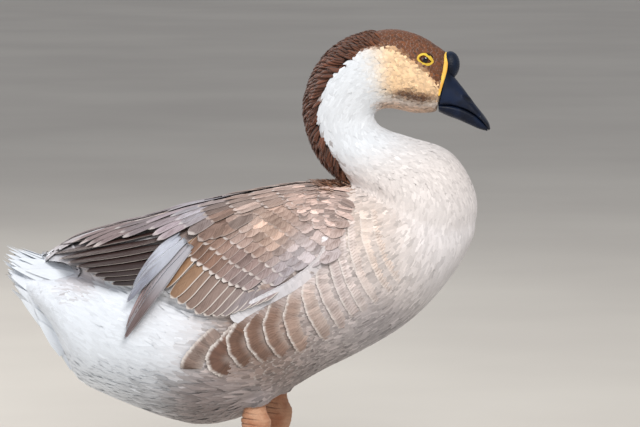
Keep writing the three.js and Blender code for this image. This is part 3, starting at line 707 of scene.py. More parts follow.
class Vanes:
    """Feathers as closed lenses: a top sheet over a bottom sheet that shares its border. Thick is
    in millimetres, soft turns the normals to the ground's, and ragged notches the tips."""

    PATCH = 0.003  # the side of one vane's patch on the bake's unwrap

    def __init__(self, columns, rows, root=0.45, tip=0.22, thick=0.35, soft=0.0,
                 blunt=0.6, bow=0.5, ragged=0.0):
        self.u, self.v = 1 - (1 - np.linspace(0, 1, columns)) ** 1.15, np.linspace(-1, 1, rows)
        self.rows, self.thick, self.soft, self.ragged = rows, thick, soft, ragged
        self.outline = vane_width(self.u, root, tip, blunt, bow)
        top = np.arange(columns * rows).reshape(columns, rows)
        below = top.copy()
        inside = (columns - 2, rows - 2)
        below[1:-1, 1:-1] = columns * rows + np.arange(inside[0] * inside[1]).reshape(inside)
        sheets = [np.stack([top[:-1, :-1], top[1:, :-1], top[1:, 1:], top[:-1, 1:]], -1),
                  np.stack([below[:-1, :-1], below[:-1, 1:], below[1:, 1:], below[1:, :-1]], -1)]
        # At two corners the sheets share three points, so their quads start one point on there and
        # split into triangles the other way.
        for sheet in sheets:
            for corner in ((0, -1), (-1, 0)):
                sheet[corner] = np.roll(sheet[corner], 1)
        self.faces = np.concatenate([sheet.reshape(-1, 4) for sheet in sheets])
        self.parts = []

    def add(self, land, root, ahead, length, width, low, high, colour, edge=0.3, stand=0.0,
            sweep=0.0, crown=0.12, tilt=0.0, bake=None, curl=0.0, lift=0.0, across=None):
        """Lays vanes on a ground. A point u along and v across a vane is landed on the ground and
        raised there by the coat's depth times low at the root and high at the tip, and then by
        lift, crown along the middle, tilt to one side, stand with u and curl with u cubed."""
        count = len(root)
        length, width, low, high, edge, stand, sweep, crown, tilt, curl, lift = [
            np.broadcast_to(np.asarray(value, float), (count,))[:, None, None]
            for value in (length, width, low, high, edge, stand, sweep, crown, tilt, curl, lift)]
        u, v = self.u[None, :, None], self.v[None, None, :]
        if across is None:
            _, normal, _ = land(root)
            ahead = unit(ahead - (ahead * normal).sum(-1, keepdims=True) * normal)
            across = np.cross(normal, ahead)
        ahead, across = ahead[:, None, None], across[:, None, None]
        half = width / 2 * self.outline[None, :, None]
        teeth = np.random.default_rng(count).uniform(-1, 1, (count, 1, self.rows))
        flat = (root[:, None, None]
                + ahead * (length * (u + self.ragged * teeth * ramp(0.4, 1, u)))[..., None]
                + across * (half * v + sweep * u ** 2)[..., None])
        foot, normal, depth = land(flat)
        height = (depth * (low + (high - low) * ramp(0, 0.85, u)) + lift
                  + crown * half * (1 - v ** 2) + tilt * half * v
                  + stand * length * u + curl * length * u ** 3)
        points = foot + normal * height[..., None]
        under = (points - normal * self.thick * (1 - v ** 2)[..., None])[:, 1:-1, 1:-1]
        verts = np.concatenate([points.reshape(count, -1, 3), under.reshape(count, -1, 3)], 1)
        facing = unit(np.cross(np.gradient(points, axis=1), np.gradient(points, axis=2)))
        facing = unit(self.soft * normal + (1 - self.soft) * facing)
        facing = np.concatenate([facing.reshape(count, -1, 3),
                                 -facing[:, 1:-1, 1:-1].reshape(count, -1, 3)], 1)
        sheet = np.stack(np.broadcast_arrays(u, v * 0.5 + 0.5), -1)[0]
        uv = np.concatenate([sheet.reshape(-1, 2), sheet[1:-1, 1:-1].reshape(-1, 2)])
        tint = np.concatenate([colour, edge[:, 0]], 1)
        self.parts.append((verts, tint, np.broadcast_to(uv, (count, *uv.shape)), bake, facing))

    def finish(self, name, material, slot, replaces=()):
        """Joins what was laid into one object. Each vane bakes to its own small patch at its root's
        place, or to its own cell of a square sheet when no place is given."""
        *layers, places, facings = zip(*self.parts)
        verts, tint, uv = [np.concatenate(layer) for layer in layers]
        count, each = verts.shape[:2]
        if places[0] is None:
            across = int(np.ceil(np.sqrt(count)))
            place = np.stack([np.arange(count) % across, np.arange(count) // across], -1) / across
            bake = place[:, None] + (uv * 0.9 + 0.05) / across
        else:
            bake = np.concatenate(places)[:, None] + (uv - 0.5) * self.PATCH
        faces = (np.arange(count)[:, None, None] * each + self.faces).reshape(-1, 4)
        obj = new_object(name, verts.reshape(-1, 3), faces, material)
        tint = np.repeat(tint, each, axis=0)
        give_tint(obj, tint[:, :3], tint[:, 3])
        give_uv(obj, "OFBake", bake.reshape(-1, 2))
        give_uv(obj, "Vane", uv.reshape(-1, 2))
        if self.soft:
            facing = np.concatenate(facings).reshape(-1, 3)
            obj.data.normals_split_custom_set_from_vertices(facing)
        if replaces:
            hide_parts(*replaces)
        return obj


SHADOW = (0.42, 0.34, 0.3)  # what streaks and dark middles multiply the tint by


def plumage(name, rough=0.72, barbs=26.0, edge_colour=(0.80, 0.74, 0.69), sheen=0.1, relief=0.3,
            streak=0.25, side_rim=1.0, bloom=0.0, tip_rim=(0.86, 0.95), centre=0.0,
            edges=(0.42, 0.485)):
    """Feather vane: the tint, streaked along its barbs and darker down the middle, pale at the root
    by bloom, with a pale rim whose strength is the tint's alpha."""
    shade = Shader(name, rough, sheen=sheen)
    tint = shade.add("ShaderNodeAttribute", attribute_name="tint")
    place = shade.add("ShaderNodeUVMap", uv_map="Vane")
    parts = shade.link(place, shade.add("ShaderNodeSeparateXYZ"))
    u, v = parts.outputs[0], parts.outputs[1]
    off = shade.maths("ABSOLUTE", shade.maths("SUBTRACT", v, 0.5), 0)
    slant = shade.maths("SUBTRACT", u, shade.maths("MULTIPLY", off, 0.7))
    slant = shade.maths("MULTIPLY", slant, barbs)
    spot = shade.link(shade.add("ShaderNodeTexCoord"), shade.add("ShaderNodeSeparateXYZ"), 3)
    along = shade.add("ShaderNodeCombineXYZ")
    for socket, value in zip(along.inputs, (slant, shade.maths("MULTIPLY", v, 2.0),
                                            shade.maths("MULTIPLY", spot.outputs[0], 60.0))):
        shade.links.new(value, socket)
    fibres = shade.noise(1.0, 2, along.outputs[0])
    grain = shade.noise(420, 2)
    cloud = shade.steps(shade.noise(70, 2), 0.35, 0.7)
    lines = shade.maths("MULTIPLY", shade.steps(fibres, 0.42, 0.68), streak)
    base = shade.blend(lines, tint.outputs["Color"], SHADOW, "MULTIPLY")
    if centre:
        dark = shade.maths("MULTIPLY", shade.steps(off, 0.34, 0.02), cloud)
        base = shade.blend(shade.maths("MULTIPLY", dark, centre), base, SHADOW, "MULTIPLY")
    if bloom:
        pale = shade.maths("MULTIPLY", shade.steps(u, 0.72, 0.3), bloom)
        base = shade.blend(pale, base, edge_colour)
    sides = shade.maths("MULTIPLY", shade.steps(off, *edges), side_rim)
    rim = shade.maths("MAXIMUM", sides, shade.steps(u, *tip_rim))
    rim = shade.maths("MULTIPLY", rim, tint.outputs["Alpha"])
    base = shade.blend(rim, base, edge_colour)
    shade.colour(base)
    shade.bump(shade.maths("ADD", fibres, shade.maths("MULTIPLY", grain, 0.6)), relief, 0.0006)
    return shade.material


def feather_spacing(station, blend, x):
    """The distance between feathers: smallest on the face, widening down the neck to the rear."""
    neck = 3.1 + 1.2 * ramp(6, 2, -station + 8) - 1.1 * ramp(9.6, 11, station)
    trunk = bpy.context.scene.goose_coat.spacing / MM + 0.5 * ramp(60, -60, x)
    return blend * neck + (1 - blend) * trunk


def scatter(chosen, seed, copies=2):
    """Roots over the skin: of the skin points in each cell of a grid, one is kept, moved a little,
    and then as many are dropped by lot as the wanted spacing asks."""
    ground = MODEL["ground"]
    rng = np.random.default_rng(seed)
    spacing = feather_spacing(MODEL["station"], MODEL["blend"], ground.verts[:, 0])
    finest = spacing[chosen].min()
    index = np.repeat(np.flatnonzero(chosen), copies)
    moved = ground.verts[index] + rng.uniform(-1.6, 1.6, (len(index), 3))
    order = rng.permutation(len(index))
    index, moved = index[order], moved[order]
    _, first = np.unique(np.floor(moved / finest), axis=0, return_index=True)
    first = first[rng.random(len(first)) < (finest / spacing[index[first]]) ** 2]
    return ground.land(moved[first])[0]


def lay_tufts(vanes, roots, seed, length, width, low=0.1, high=1.0, spread=0.15, fan=0.0, shift=0.0,
              **more):
    """Small feathers along the lie, each with its own turn, size and shade. Length and width are in
    spacings, fan turns them towards the nape, and shift reads their colours nearer the throat."""
    rng = np.random.default_rng(seed)
    ahead, station, share, blend = lie(roots)
    _, normal, _ = MODEL["ground"].land(roots)
    across = unit(np.cross(normal, ahead))
    section = smoothly(table_rows(NECK), NECK, station)
    nape = section[:, :2] - section[:, 2:4]
    nape = unit(np.stack([nape[:, 0], 0 * share, nape[:, 1]], -1))
    ahead = unit(ahead + across * (rng.normal(0, spread, len(roots)))[:, None] + fan * nape)
    size = rng.uniform(0.82, 1.18, len(roots)) * feather_spacing(station, blend, roots[:, 0])
    colour = coat_colours(roots, station, share + shift, blend, seed)
    vanes.add(MODEL["ground"].land, roots, ahead, length * size, width * size, low, high, colour,
              bake=unwrap(roots, station, share, blend), **more)


def coat_piece(name, chosen, seed, vanes, size, look, slot, copies=2, **tufts):
    """One piece of small feathers over the chosen skin points, with draws from two seeds."""
    lay_tufts(vanes, scatter(chosen, seed, copies), seed + 1, *size, **tufts)
    vanes.finish(name, look, slot)


# ------------------------------------------------------------------ rows of large feathers


def along(path, count):
    """Points at even steps along a polyline, and their shares of its length."""
    path = np.array(path, float)
    gone = np.concatenate([[0], np.cumsum(np.linalg.norm(np.diff(path, axis=0), axis=1))])
    share = (np.arange(count) + 0.5) / count
    return np.stack([np.interp(share * gone[-1], gone, column) for column in path.T], -1), share


def on_sheet(sheet, side, depth):
    """A ground in a sheet's own flat coordinates (x, arc, 0), lying depth under the sheet."""
    def land(points):
        x, arc = points[..., 0], points[..., 1]
        normal = sheet.normal(x, arc, side)
        return sheet.point(x, arc, side) - normal * depth, normal, np.full(x.shape, float(depth))
    return land


def cast_on(sheet, side, depth):
    """A ground that moves points straight sideways onto a sheet, lying depth under it, so that
    straight feathers stay straight in the side view."""
    flat = on_sheet(sheet, side, depth)

    def land(points):
        arc = sheet.arc_at(points[..., 0], points[..., 2])
        return flat(np.stack([points[..., 0], arc, 0 * arc], -1))
    return land


SHEET_DEPTH = 5.0  # how deep the rows' ground lies under the wing's loft, in millimetres


def lay_row(vanes, sheet, side, path, count, length, width, lean, edge, low, high, *, seed, tilt,
            stray, colour=WING_SHADES, crown=0.1, ground="skin", sweep=0.0, fade=0.0, vary=0.0,
            mottle=0.0):
    """A row of feathers by their tips' line in the side view. Lean is the way they point: 0 is
    straight back and 90 straight up, and None points them square to the row. Sizes and colours run
    from one end of the row to the other, or the colours come from a table of shades. Fade sinks the
    far end, vary weakens some rims and mottle strays the shades. The ground is the skin, the sheet,
    or the sheet cast upon from the side."""
    tips, share = along(path, count)
    rng = np.random.default_rng(seed)
    between = lambda pair: pair[0] + (pair[1] - pair[0]) * share
    size = between(length) * rng.uniform(1 - stray, 1 + stray, count)
    if lean is None:
        way = np.gradient(tips, axis=0)
        way = np.stack([np.convolve(np.pad(column, 3, "edge"), np.ones(7) / 7, "valid")
                        for column in way.T], -1)
        angle = -np.arctan2(way[:, 0], -way[:, 1])
    else:
        angle = np.radians(between(lean) + rng.normal(0, 40 * stray, count))
    tip = np.stack([tips[:, 0], sheet.arc_at(*tips.T), 0 * share], -1)
    across = None
    if ground == "sheet":
        land = on_sheet(sheet, side, SHEET_DEPTH)
        flow = np.stack([-np.cos(angle), -np.sin(angle), 0 * angle], -1)
        root = tip - flow * size[:, None]
        root[:, 1] = np.maximum(root[:, 1], 1)
        across = unit(-side * np.stack([(tip - root)[:, 1], -(tip - root)[:, 0], 0 * share], -1))
    else:
        start = tips + size[:, None] * np.stack([np.cos(angle), -np.sin(angle)], -1)
        root = sheet.point(start[:, 0], sheet.arc_at(*start.T), side)
        tip = sheet.point(tip[:, 0], tip[:, 1], side)
        land = MODEL["ground"].land if ground == "skin" else cast_on(sheet, side, SHEET_DEPTH)
    size = np.linalg.norm(tip - root, axis=1)
    sink = 1 - fade * ramp(0.7, 1, share)
    high, edge = high * sink + (1 - sink) * 0.4, edge * sink
    edge = edge * (1 - vary * rng.random(count))
    if isinstance(colour[0][0], str):
        tone = shades_at(tips, colour)
    else:
        steps = np.linspace(0, 1, len(colour))
        tone = np.stack([np.interp(share, steps, part) for part in np.array(colour, float).T], -1)
    tone = tone * (1 + min(stray, 0.08) * rng.normal(size=(count, 1))
                   + mottle * rng.uniform(-1, 1, (count, 1)))
    vanes.add(land, root, (tip - root) / size[:, None], size, between(width), low, high,
              linear(np.clip(tone, 0, 255)), edge=edge, tilt=-side * tilt, crown=crown,
              across=across, sweep=-side * sweep)


# Rows of feathers: the tips' line (x, z), how many, length, width, lean, rim, low, high. A pair of
# values runs from one end of the row to the other.
SECONDARIES = (
    [(-93, 240), (-86, 231), (-70, 220), (-49, 212), (-25, 213), (-2, 222), (22, 232)], 14,
    (80, 46), (18, 14), (-56, -38), 0.95, 0.1, 0.7)
COVERTS = [
    ([(-64, 276), (-47, 264), (-31, 253), (-15, 245), (4, 239)], 10,
     (48, 40), (16, 14), (-54, -34), 0.95, 0.35, 0.85),
    ([(-58, 298), (-42, 287), (-27, 276), (-12, 266), (4, 258), (18, 249), (34, 244)], 13,
     (38, 34), (16, 15), (-52, -34), 0.7, 0.4, 0.9),
    ([(-52, 316), (-31, 299), (-13, 288), (8, 276), (24, 265), (44, 253)], 13,
     (34, 30), (16, 15), (-50, -36), 0.8, 0.45, 0.95),
    ([(-36, 320), (-18, 308), (2, 296), (22, 284), (40, 272), (58, 260)], 13,
     (30, 26), (16, 15), (-46, -38), 0.4, 0.5, 0.98)]
FRONT_COVERTS = [
    ([(-20, 322), (0, 311), (20, 299), (40, 286), (58, 274), (74, 264)], 16,
     (32, 28), (15, 14), (-44, -38), 0.25, 0.6, 1.0),
    ([(-2, 325), (20, 313), (40, 301), (58, 289), (76, 277), (86, 268)], 16,
     (30, 26), (15, 14), (-42, -38), 0.2, 0.62, 1.02),
    ([(20, 326), (40, 315), (58, 304), (76, 292), (90, 282)], 14,
     (28, 24), (14, 13), (-40, -36), 0.15, 0.64, 1.04),
    ([(42, 327), (60, 316), (78, 305), (94, 295)], 12,
     (26, 22), (14, 13), (-36, -34), 0.15, 0.66, 1.06),
    ([(66, 326), (84, 316), (100, 306)], 10,
     (24, 22), (14, 13), (-34, -32), 0.2, 0.68, 1.08)]
SCAPULARS = [
    ([(-62, 298), (-48, 290), (-30, 294), (-14, 304)], 5, (48, 42), (24, 22), (-44, -34),
     0.6, 0.65, 1.15),
    ([(-204, 292), (-196, 284), (-178, 281), (-160, 279)], 6, (124, 108), (19, 16), (-13, -20),
     0.5, 0.4, 1.0),
    ([(-150, 303), (-140, 296), (-128, 289)], 4, (96, 88), (19, 18), (-12, -22),
     0.45, 0.5, 1.05),
    ([(-118, 310), (-108, 303), (-98, 294), (-90, 286)], 5, (80, 70), (19, 18), (-12, -30),
     0.5, 0.6, 1.1),
    ([(-86, 317), (-76, 309), (-64, 300)], 5, (66, 56), (19, 18), (-12, -32),
     0.5, 0.65, 1.14),
    ([(-54, 323), (-44, 314), (-34, 306)], 5, (58, 50), (18, 17), (-12, -32),
     0.45, 0.7, 1.16),
    ([(-26, 330), (-14, 322), (-4, 316)], 5, (52, 44), (17, 16), (-10, -26),
     0.4, 0.74, 1.18),
    ([(2, 335), (14, 329), (26, 322)], 5, (46, 38), (16, 15), (-8, -22),
     0.5, 0.78, 1.2),
    ([(28, 340), (40, 335), (54, 326)], 5, (38, 34), (15, 14), (-6, -24),
     0.6, 0.8, 1.22)]
# The twisted feathers of the mantle, whose path runs to and fro across it.
MANTLE = ([(36, 338), (50, 322), (54, 343), (62, 310), (68, 344), (76, 304), (82, 344), (88, 308),
           (94, 342), (100, 318), (106, 334)], 84, (27, 22), (12, 11), (-50, 0), 0.5, 0.8, 1.2)
FLANK_ROWS = [
    # the tips' line, how many, length, colours, rim, high
    ([(-34, 199), (-50, 185), (-64, 168), (-68, 156), (-64, 144)], 24, (36, 46),
     ((146, 128, 120), (112, 88, 76)), 0.95, 1.45),
    ([(2, 218), (-19, 197), (-36, 178), (-41, 166), (-37, 152), (-24, 142), (-4, 136)], 36,
     (46, 44), ((104, 76, 64), (100, 76, 64)), 1.0, 1.4),
    ([(16, 229), (-8, 206), (-18, 189), (-16, 172), (-5, 155), (10, 143)], 34, (40, 40),
     ((112, 84, 70), (114, 90, 78)), 1.0, 1.45),
    ([(31, 239), (10, 217), (1, 197), (5, 178), (18, 160), (34, 148)], 34, (36, 38),
     ((124, 96, 82), (126, 102, 92)), 1.0, 1.4),
    ([(47, 248), (29, 225), (21, 203), (25, 184), (36, 166), (52, 152)], 34, (32, 36),
     ((142, 114, 100), (138, 114, 104)), 0.95, 1.4),
    ([(64, 259), (49, 234), (43, 210), (48, 190), (58, 170), (74, 156)], 36, (30, 34),
     ((164, 140, 128), (148, 126, 116)), 0.9, 1.35),
    ([(77, 272), (65, 250), (63, 233), (69, 212), (79, 193), (96, 166)], 38, (28, 32),
     ((186, 168, 160), (160, 140, 134)), 0.9, 1.3),
    ([(85, 292), (79, 268), (79, 246), (86, 226), (96, 208), (114, 176)], 40, (26, 30),
     ((198, 184, 180), (172, 156, 152)), 0.85, 1.25),
    ([(91, 304), (92, 270), (98, 245), (106, 226), (118, 206), (130, 186)], 40, (25, 28),
     ((204, 192, 190), (182, 170, 168)), 0.8, 1.16),
    ([(102, 308), (102, 274), (110, 248), (119, 229), (130, 210), (146, 192)], 40, (24, 26),
     ((208, 196, 193), (190, 180, 178)), 0.7, 1.12),
    ([(113, 312), (114, 283), (122, 256), (131, 238), (143, 220), (160, 202)], 38, (23, 25),
     ((212, 198, 192), (196, 188, 187)), 0.6, 1.08),
    ([(126, 320), (128, 293), (136, 270), (145, 250), (157, 232), (174, 216)], 36, (22, 24),
     ((216, 200, 190), (202, 196, 196)), 0.5, 1.05),
    ([(138, 322), (142, 295), (150, 272), (160, 254), (171, 238), (186, 226)], 34, (21, 23),
     ((220, 204, 194), (208, 204, 205)), 0.4, 1.02)]
PALE = (214, 211, 216)  # the ribs' upper ends
# Pale feathers that overlap the folded wing's lower edge, as a row with its colours.
WING_BORDER = ([(86, 284), (80, 273), (66, 261), (47, 248), (30, 239), (14, 231), (-4, 220),
                (-12, 213)], 80, (13, 13), (9, 9), None, 0.0, -0.3, 1.1)
BORDER_COLOURS = ((200, 192, 192), (206, 203, 208), (214, 213, 218))
PRIMARIES = ([(-220, 269), (-216, 264), (-205, 259.5), (-192, 256.5), (-178, 252), (-160, 246),
              (-136, 239)], 9, (134, 72), (16, 14), (-21, -12), 0.9, 0.05, 0.8)
PRIMARY_COLOURS = ((70, 50, 46), (38, 25, 24))
# Bundles of drooped tertials in the side view: side, root (x, z), tip, colour, spread and bend.
TERTIALS = [(-1, (-68, 293), (-131, 227), (150, 154, 170), 7, 4),
            (-1, (-60, 287), (-137, 187), (138, 118, 118), 7, 7),
            (1, (-66, 291), (-145, 238), (150, 154, 170), 7, 4),
            (1, (-60, 288), (-141, 208), (138, 118, 118), 7, 7)]


QUARTER_TURN = np.array([(0.0, 0, -1), (0, 0, 0), (1, 0, 0)])  # in the side view, for rows of ways


def draped(side):
    """A ground that moves points straight sideways onto the wing or the trunk, whichever stands out
    further, blending the two where they cross."""
    sheets = [cast_on(Flank(table), side, 0) for table in (WINGS, TRUNK)]

    def land(points):
        (wing, normal, depth), (trunk, other, _) = [sheet(points) for sheet in sheets]
        share = ramp(-5, 5, side * (wing - trunk)[..., 1:2])
        return trunk + (wing - trunk) * share, unit(other + (normal - other) * share), depth
    return land


def fixed(normals):
    """A ground that leaves points where they are, with one normal for each feather."""
    def land(points):
        shape = (len(normals),) + (1,) * (points.ndim - 2) + (3,)
        facing = np.broadcast_to(normals.reshape(shape), points.shape)
        return points, facing, np.ones(points.shape[:-1])
    return land


class GOOSE_OT_wings(bpy.types.Operator):
    """Folded wings: primaries, secondaries, coverts and scapulars in rows"""

    bl_idname = "goose.wings"
    bl_label = "Wings"

    def execute(self, context):
        look = dict(rough=0.66, barbs=30, streak=0.6, edge_colour=(0.66, 0.60, 0.57), centre=0.6)
        vane = plumage("Wing feathers", side_rim=0.5, tip_rim=(0.9, 0.955), **look)
        dark = plumage("Flight feathers", rough=0.5, barbs=60, streak=0.35, sheen=0.0,
                       edge_colour=(0.62, 0.56, 0.52), edges=(0.43, 0.48), tip_rim=(0.965, 0.985))
        quill = plumage("Secondaries", rough=0.6, barbs=50, streak=0.45, sheen=0.0, centre=0.3,
                        edge_colour=(0.62, 0.56, 0.52), edges=(0.4, 0.47), tip_rim=(0.95, 0.985))
        sheet = Flank(WINGS)
        flight = Vanes(16, 9, root=0.7, tip=0.06, blunt=0.45, bow=0.62)
        second = Vanes(14, 9, root=0.7, tip=0.15, blunt=0.68, soft=0.3)
        covert, front = Vanes(9, 7, soft=0.45, ragged=0.012), Vanes(9, 7, soft=0.85, ragged=0.03)
        scapular = Vanes(12, 7, soft=0.6, tip=0.12, blunt=0.5, ragged=0.015)
        mantle = Vanes(8, 5, soft=0.85, tip=0.15, ragged=0.03)
        for side in SIDES.values():
            lay_row(flight, sheet, side, *PRIMARIES, colour=PRIMARY_COLOURS, tilt=0.3, seed=60,
                    stray=0.015, ground="cast")
            lay_row(second, sheet, side, *SECONDARIES, tilt=0.2, seed=70, ground="cast",
                    stray=0.03, sweep=3)
            for k, row in enumerate(COVERTS):
                lay_row(covert, sheet, side, *row, tilt=0.12, seed=71 + k, ground="sheet",
                        stray=0.04, vary=0.15 + 0.25 * k, mottle=0.08, crown=0.08)
            for k, row in enumerate(FRONT_COVERTS):
                lay_row(front, sheet, side, *row, tilt=0.04, seed=80 + k, ground="sheet",
                        stray=0.08, vary=0.8, mottle=0.1, crown=0.04)
            for k, row in enumerate(SCAPULARS):
                lay_row(scapular, sheet, side, *row, tilt=0.1, seed=90 + k, ground="sheet",
                        vary=0.5, mottle=0.12, stray=0.07)
            lay_row(mantle, sheet, side, *MANTLE, tilt=0.1, seed=99, ground="sheet", vary=0.8,
                    mottle=0.2, stray=0.28, crown=0.05)
        flight.finish("flight_feathers", dark, "feathers_dark",
                      ["primaries_right", "primaries_left"])
        second.finish("secondaries", quill, "feathers_wing")
        covert.finish("wing_coverts", vane, "feathers_wing")
        front.finish("front_coverts", vane, "feathers_wing")
        scapular.finish("scapulars", vane, "feathers_wing")
        mantle.finish("mantle_feathers", vane, "feathers_wing")

        drooped = Vanes(20, 7, root=0.45, tip=0.06, thick=0.4, blunt=0.45, bow=0.62, ragged=0.008)
        downy = plumage("Drooped feathers", rough=0.7, barbs=44, streak=0.8, side_rim=0.8,
                        bloom=0.45, edge_colour=(0.62, 0.65, 0.72), tip_rim=(0.97, 0.99))
        rng = np.random.default_rng(150)
        each = 9
        for side, root, tip, colour, spread, bend in TERTIALS:
            root, tip = [np.array([[end[0], 0.0, end[1]]]) for end in (root, tip)]
            way = unit(tip - root)
            aside = side * way @ QUARTER_TURN
            fan = np.linspace(-1, 1, each)[:, None]
            near = root + aside * fan * spread + way * rng.uniform(-4, 4, (each, 1))
            short = rng.uniform(0, 7, (each, 1)) + 9 * (1 + side * fan)
            far = tip + aside * fan * 4 - way * short
            way = unit(far - near)
            tone = np.array([colour]) * (1 + rng.normal(0, 0.1, (each, 1)))
            drooped.add(draped(side), near, way, np.linalg.norm(far - near, axis=1),
                        rng.uniform(9, 12, each), 0.0, 0.0, linear(tone), edge=0.9,
                        sweep=bend * -side, crown=0.1, tilt=-0.15 * side,
                        lift=-3 + 0.4 * np.arange(each), stand=0.12, curl=-0.05,
                        across=side * way @ QUARTER_TURN)
        drooped.finish("tertials", downy, "feathers_wing", [f"tertials_{side}" for side in SIDES])
        return {"FINISHED"}


class GOOSE_OT_flanks(bpy.types.Operator):
    """Ribs of side feathers with pale rims"""

    bl_idname = "goose.flanks"
    bl_label = "Flanks"

    def execute(self, context):
        vane = plumage("Flank feathers", rough=0.7, barbs=10, streak=0.55, side_rim=0.0,
                       edge_colour=(0.74, 0.69, 0.66), bloom=0.45, tip_rim=(0.88, 0.985))
        pale = plumage("Border plumes", streak=0.08, relief=0.1, edge_colour=(0.86, 0.85, 0.87))
        ribs = Vanes(10, 5, root=0.6, tip=0.5, blunt=0.84, soft=0.5, thick=0.2, ragged=0.02)
        border = Vanes(7, 5, root=0.5, tip=0.3, soft=1.0, thick=0.15, ragged=0.03)
        sheet = Flank(TRUNK)
        for side in SIDES.values():
            for k, (path, count, length, (first, last), edge, high) in enumerate(FLANK_ROWS):
                colour = (PALE, first, first, last) if 0 < k < 8 else (first, first, last)
                lay_row(ribs, sheet, side, path, count, length, (8, 7.5), None, edge, 0.5, high,
                        colour=colour, tilt=0.03, seed=120 + k, crown=0.04, stray=0.03, fade=0.8,
                        mottle=0.08, vary=0.5)
            lay_row(border, Flank(WINGS), side, *WING_BORDER, colour=BORDER_COLOURS, tilt=0.0,
                    seed=140, stray=0.03, ground="cast", crown=0.0, fade=1.0)
        ribs.finish("flank_feathers", vane, "feathers_breast")
        border.finish("flank_border", pale, "feathers_white")
        return {"FINISHED"}


# Tail feathers in layers down the outline: how many, the middle one's tip (x, z), its slope and
# its length.
TAIL_LAYERS = [(15, -266, 276, 24, 78), (14, -253, 272, 17, 62), (16, -268, 263, 31, 78),
               (15, -264, 249, 38, 70), (15, -257, 236, 44, 62), (15, -248, 225, 48, 56),
               (15, -239, 214, 50, 52), (14, -229, 203, 52, 48), (14, -219, 192, 54, 44)]


class GOOSE_OT_tail(bpy.types.Operator):
    """Fan of white tail feathers with pointed tips"""

    bl_idname = "goose.tail"
    bl_label = "Tail"

    def execute(self, context):
        fan = Vanes(12, 7, root=0.9, tip=0.03, thick=0.3, blunt=0.3, bow=0.8, soft=0.5, ragged=0.01)
        rng = np.random.default_rng(140)
        for layer, (count, tip_x, tip_z, rise, length) in enumerate(TAIL_LAYERS):
            place = np.sin(np.linspace(-1.5, 1.5, count)) + rng.uniform(-0.05, 0.05, count)
            drop = np.abs(place) ** 1.7
            turn = np.radians(rise)
            tip = np.stack([tip_x + 14 * drop + rng.uniform(0, 6, count), 38 * place,
                            tip_z - 16 * drop + rng.uniform(-2, 1, count)], -1)
            root = tip + np.stack([length * np.cos(turn) - 6 * drop, -12 * place,
                                   4 * drop - length * np.sin(turn)], -1)
            way = unit(tip - root)
            outer = (1 - 0.75 * np.abs(place)) * (1 if layer < 3 else -1)
            flat = unit(np.stack([outer * np.sin(turn), 1.1 * place, outer * np.cos(turn)], -1))
            fan.add(fixed(flat), root, way, np.linalg.norm(tip - root, axis=1), 15, 0.0, 0.6,
                    linear(np.full((count, 3), (222, 228, 236))), edge=0.1, crown=0.1,
                    lift=1.5 * (1 - np.abs(place)), tilt=-0.1 * np.sign(place),
                    sweep=rng.uniform(-3, 3, count), curl=0.03)
        silk = plumage("Tail feathers", barbs=40, streak=0.1, sheen=0.3,
                       edge_colour=(0.9, 0.91, 0.93))
        fan.finish("tail_feathers", silk, "feathers_white", ["tail"])
        return {"FINISHED"}


# ------------------------------------------------------------------ bill, eyes and legs


def skin_like(name, colour, dark, rough, scale, relief, coat=0.0, specular=0.5):
    """Bare skin or horn: two shades clouded together, with cells in relief at the given scale. The
    tint attribute darkens the colour, as painted shade in creases, folds and hollows and as darker
    lines between scales, and its alpha lays fine ridges along x."""
    shade = Shader(name, rough, coat=coat, specular=specular)
    tint = shade.add("ShaderNodeAttribute", attribute_name="tint")
    cloud = shade.steps(shade.noise(60.0, 4), 0.25, 0.75)
    base = shade.blend(cloud, tuple(linear(colour)), tuple(linear(dark)))
    shade.colour(shade.blend(1.0, base, tint.outputs["Color"], "MULTIPLY"))
    cells = shade.add("ShaderNodeTexVoronoi", feature="DISTANCE_TO_EDGE", Scale=scale)
    place = shade.add("ShaderNodeTexCoord").outputs["Object"]
    shade.links.new(place, cells.inputs["Vector"])
    plates = shade.steps(cells.outputs["Distance"], 0.0, 0.12)
    across = shade.add("ShaderNodeSeparateXYZ")
    shade.links.new(place, across.inputs[0])
    ridges = shade.maths("SINE", shade.maths("MULTIPLY", across.outputs[0], 4200.0), 0)
    ridges = shade.maths("MULTIPLY", ridges, tint.outputs["Alpha"])
    worn = shade.maths("MULTIPLY", shade.noise(150, 3), 0.25)
    shade.rough(shade.maths("ADD", worn, rough - 0.12))
    shade.bump(shade.maths("ADD", plates, ridges), relief, 0.0006)
    return shade.material


def tinted(obj, value, ridges=0.0):
    """Grey factors and ridge strengths, one per point."""
    give_tint(obj, value.reshape(-1, 1), ridges)


def tinted_tube(name, rings, material, replaces, value=1.0, ridges=0.0):
    """A closed tube whose grey factors and ridges are given on its rings; the ends take the first
    and last ring's."""
    obj = tube_object(name, rings, material)

    def fill(field):
        field = np.broadcast_to(field, rings.shape[:2])
        field = np.concatenate([field[:1], field, field[-1:]]).ravel()
        return np.append(field, field[[0, -1]])
    tinted(obj, fill(value), fill(ridges))
    if replaces:
        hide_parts(*replaces)
    return obj


def groove(value, at, width):
    """A bell curve round one value."""
    return np.exp(-((value - at) / width) ** 2)


BILL_END, NAIL_START = 5.62, 5.56  # rows of the upper bill's table; the nail overlaps the horn


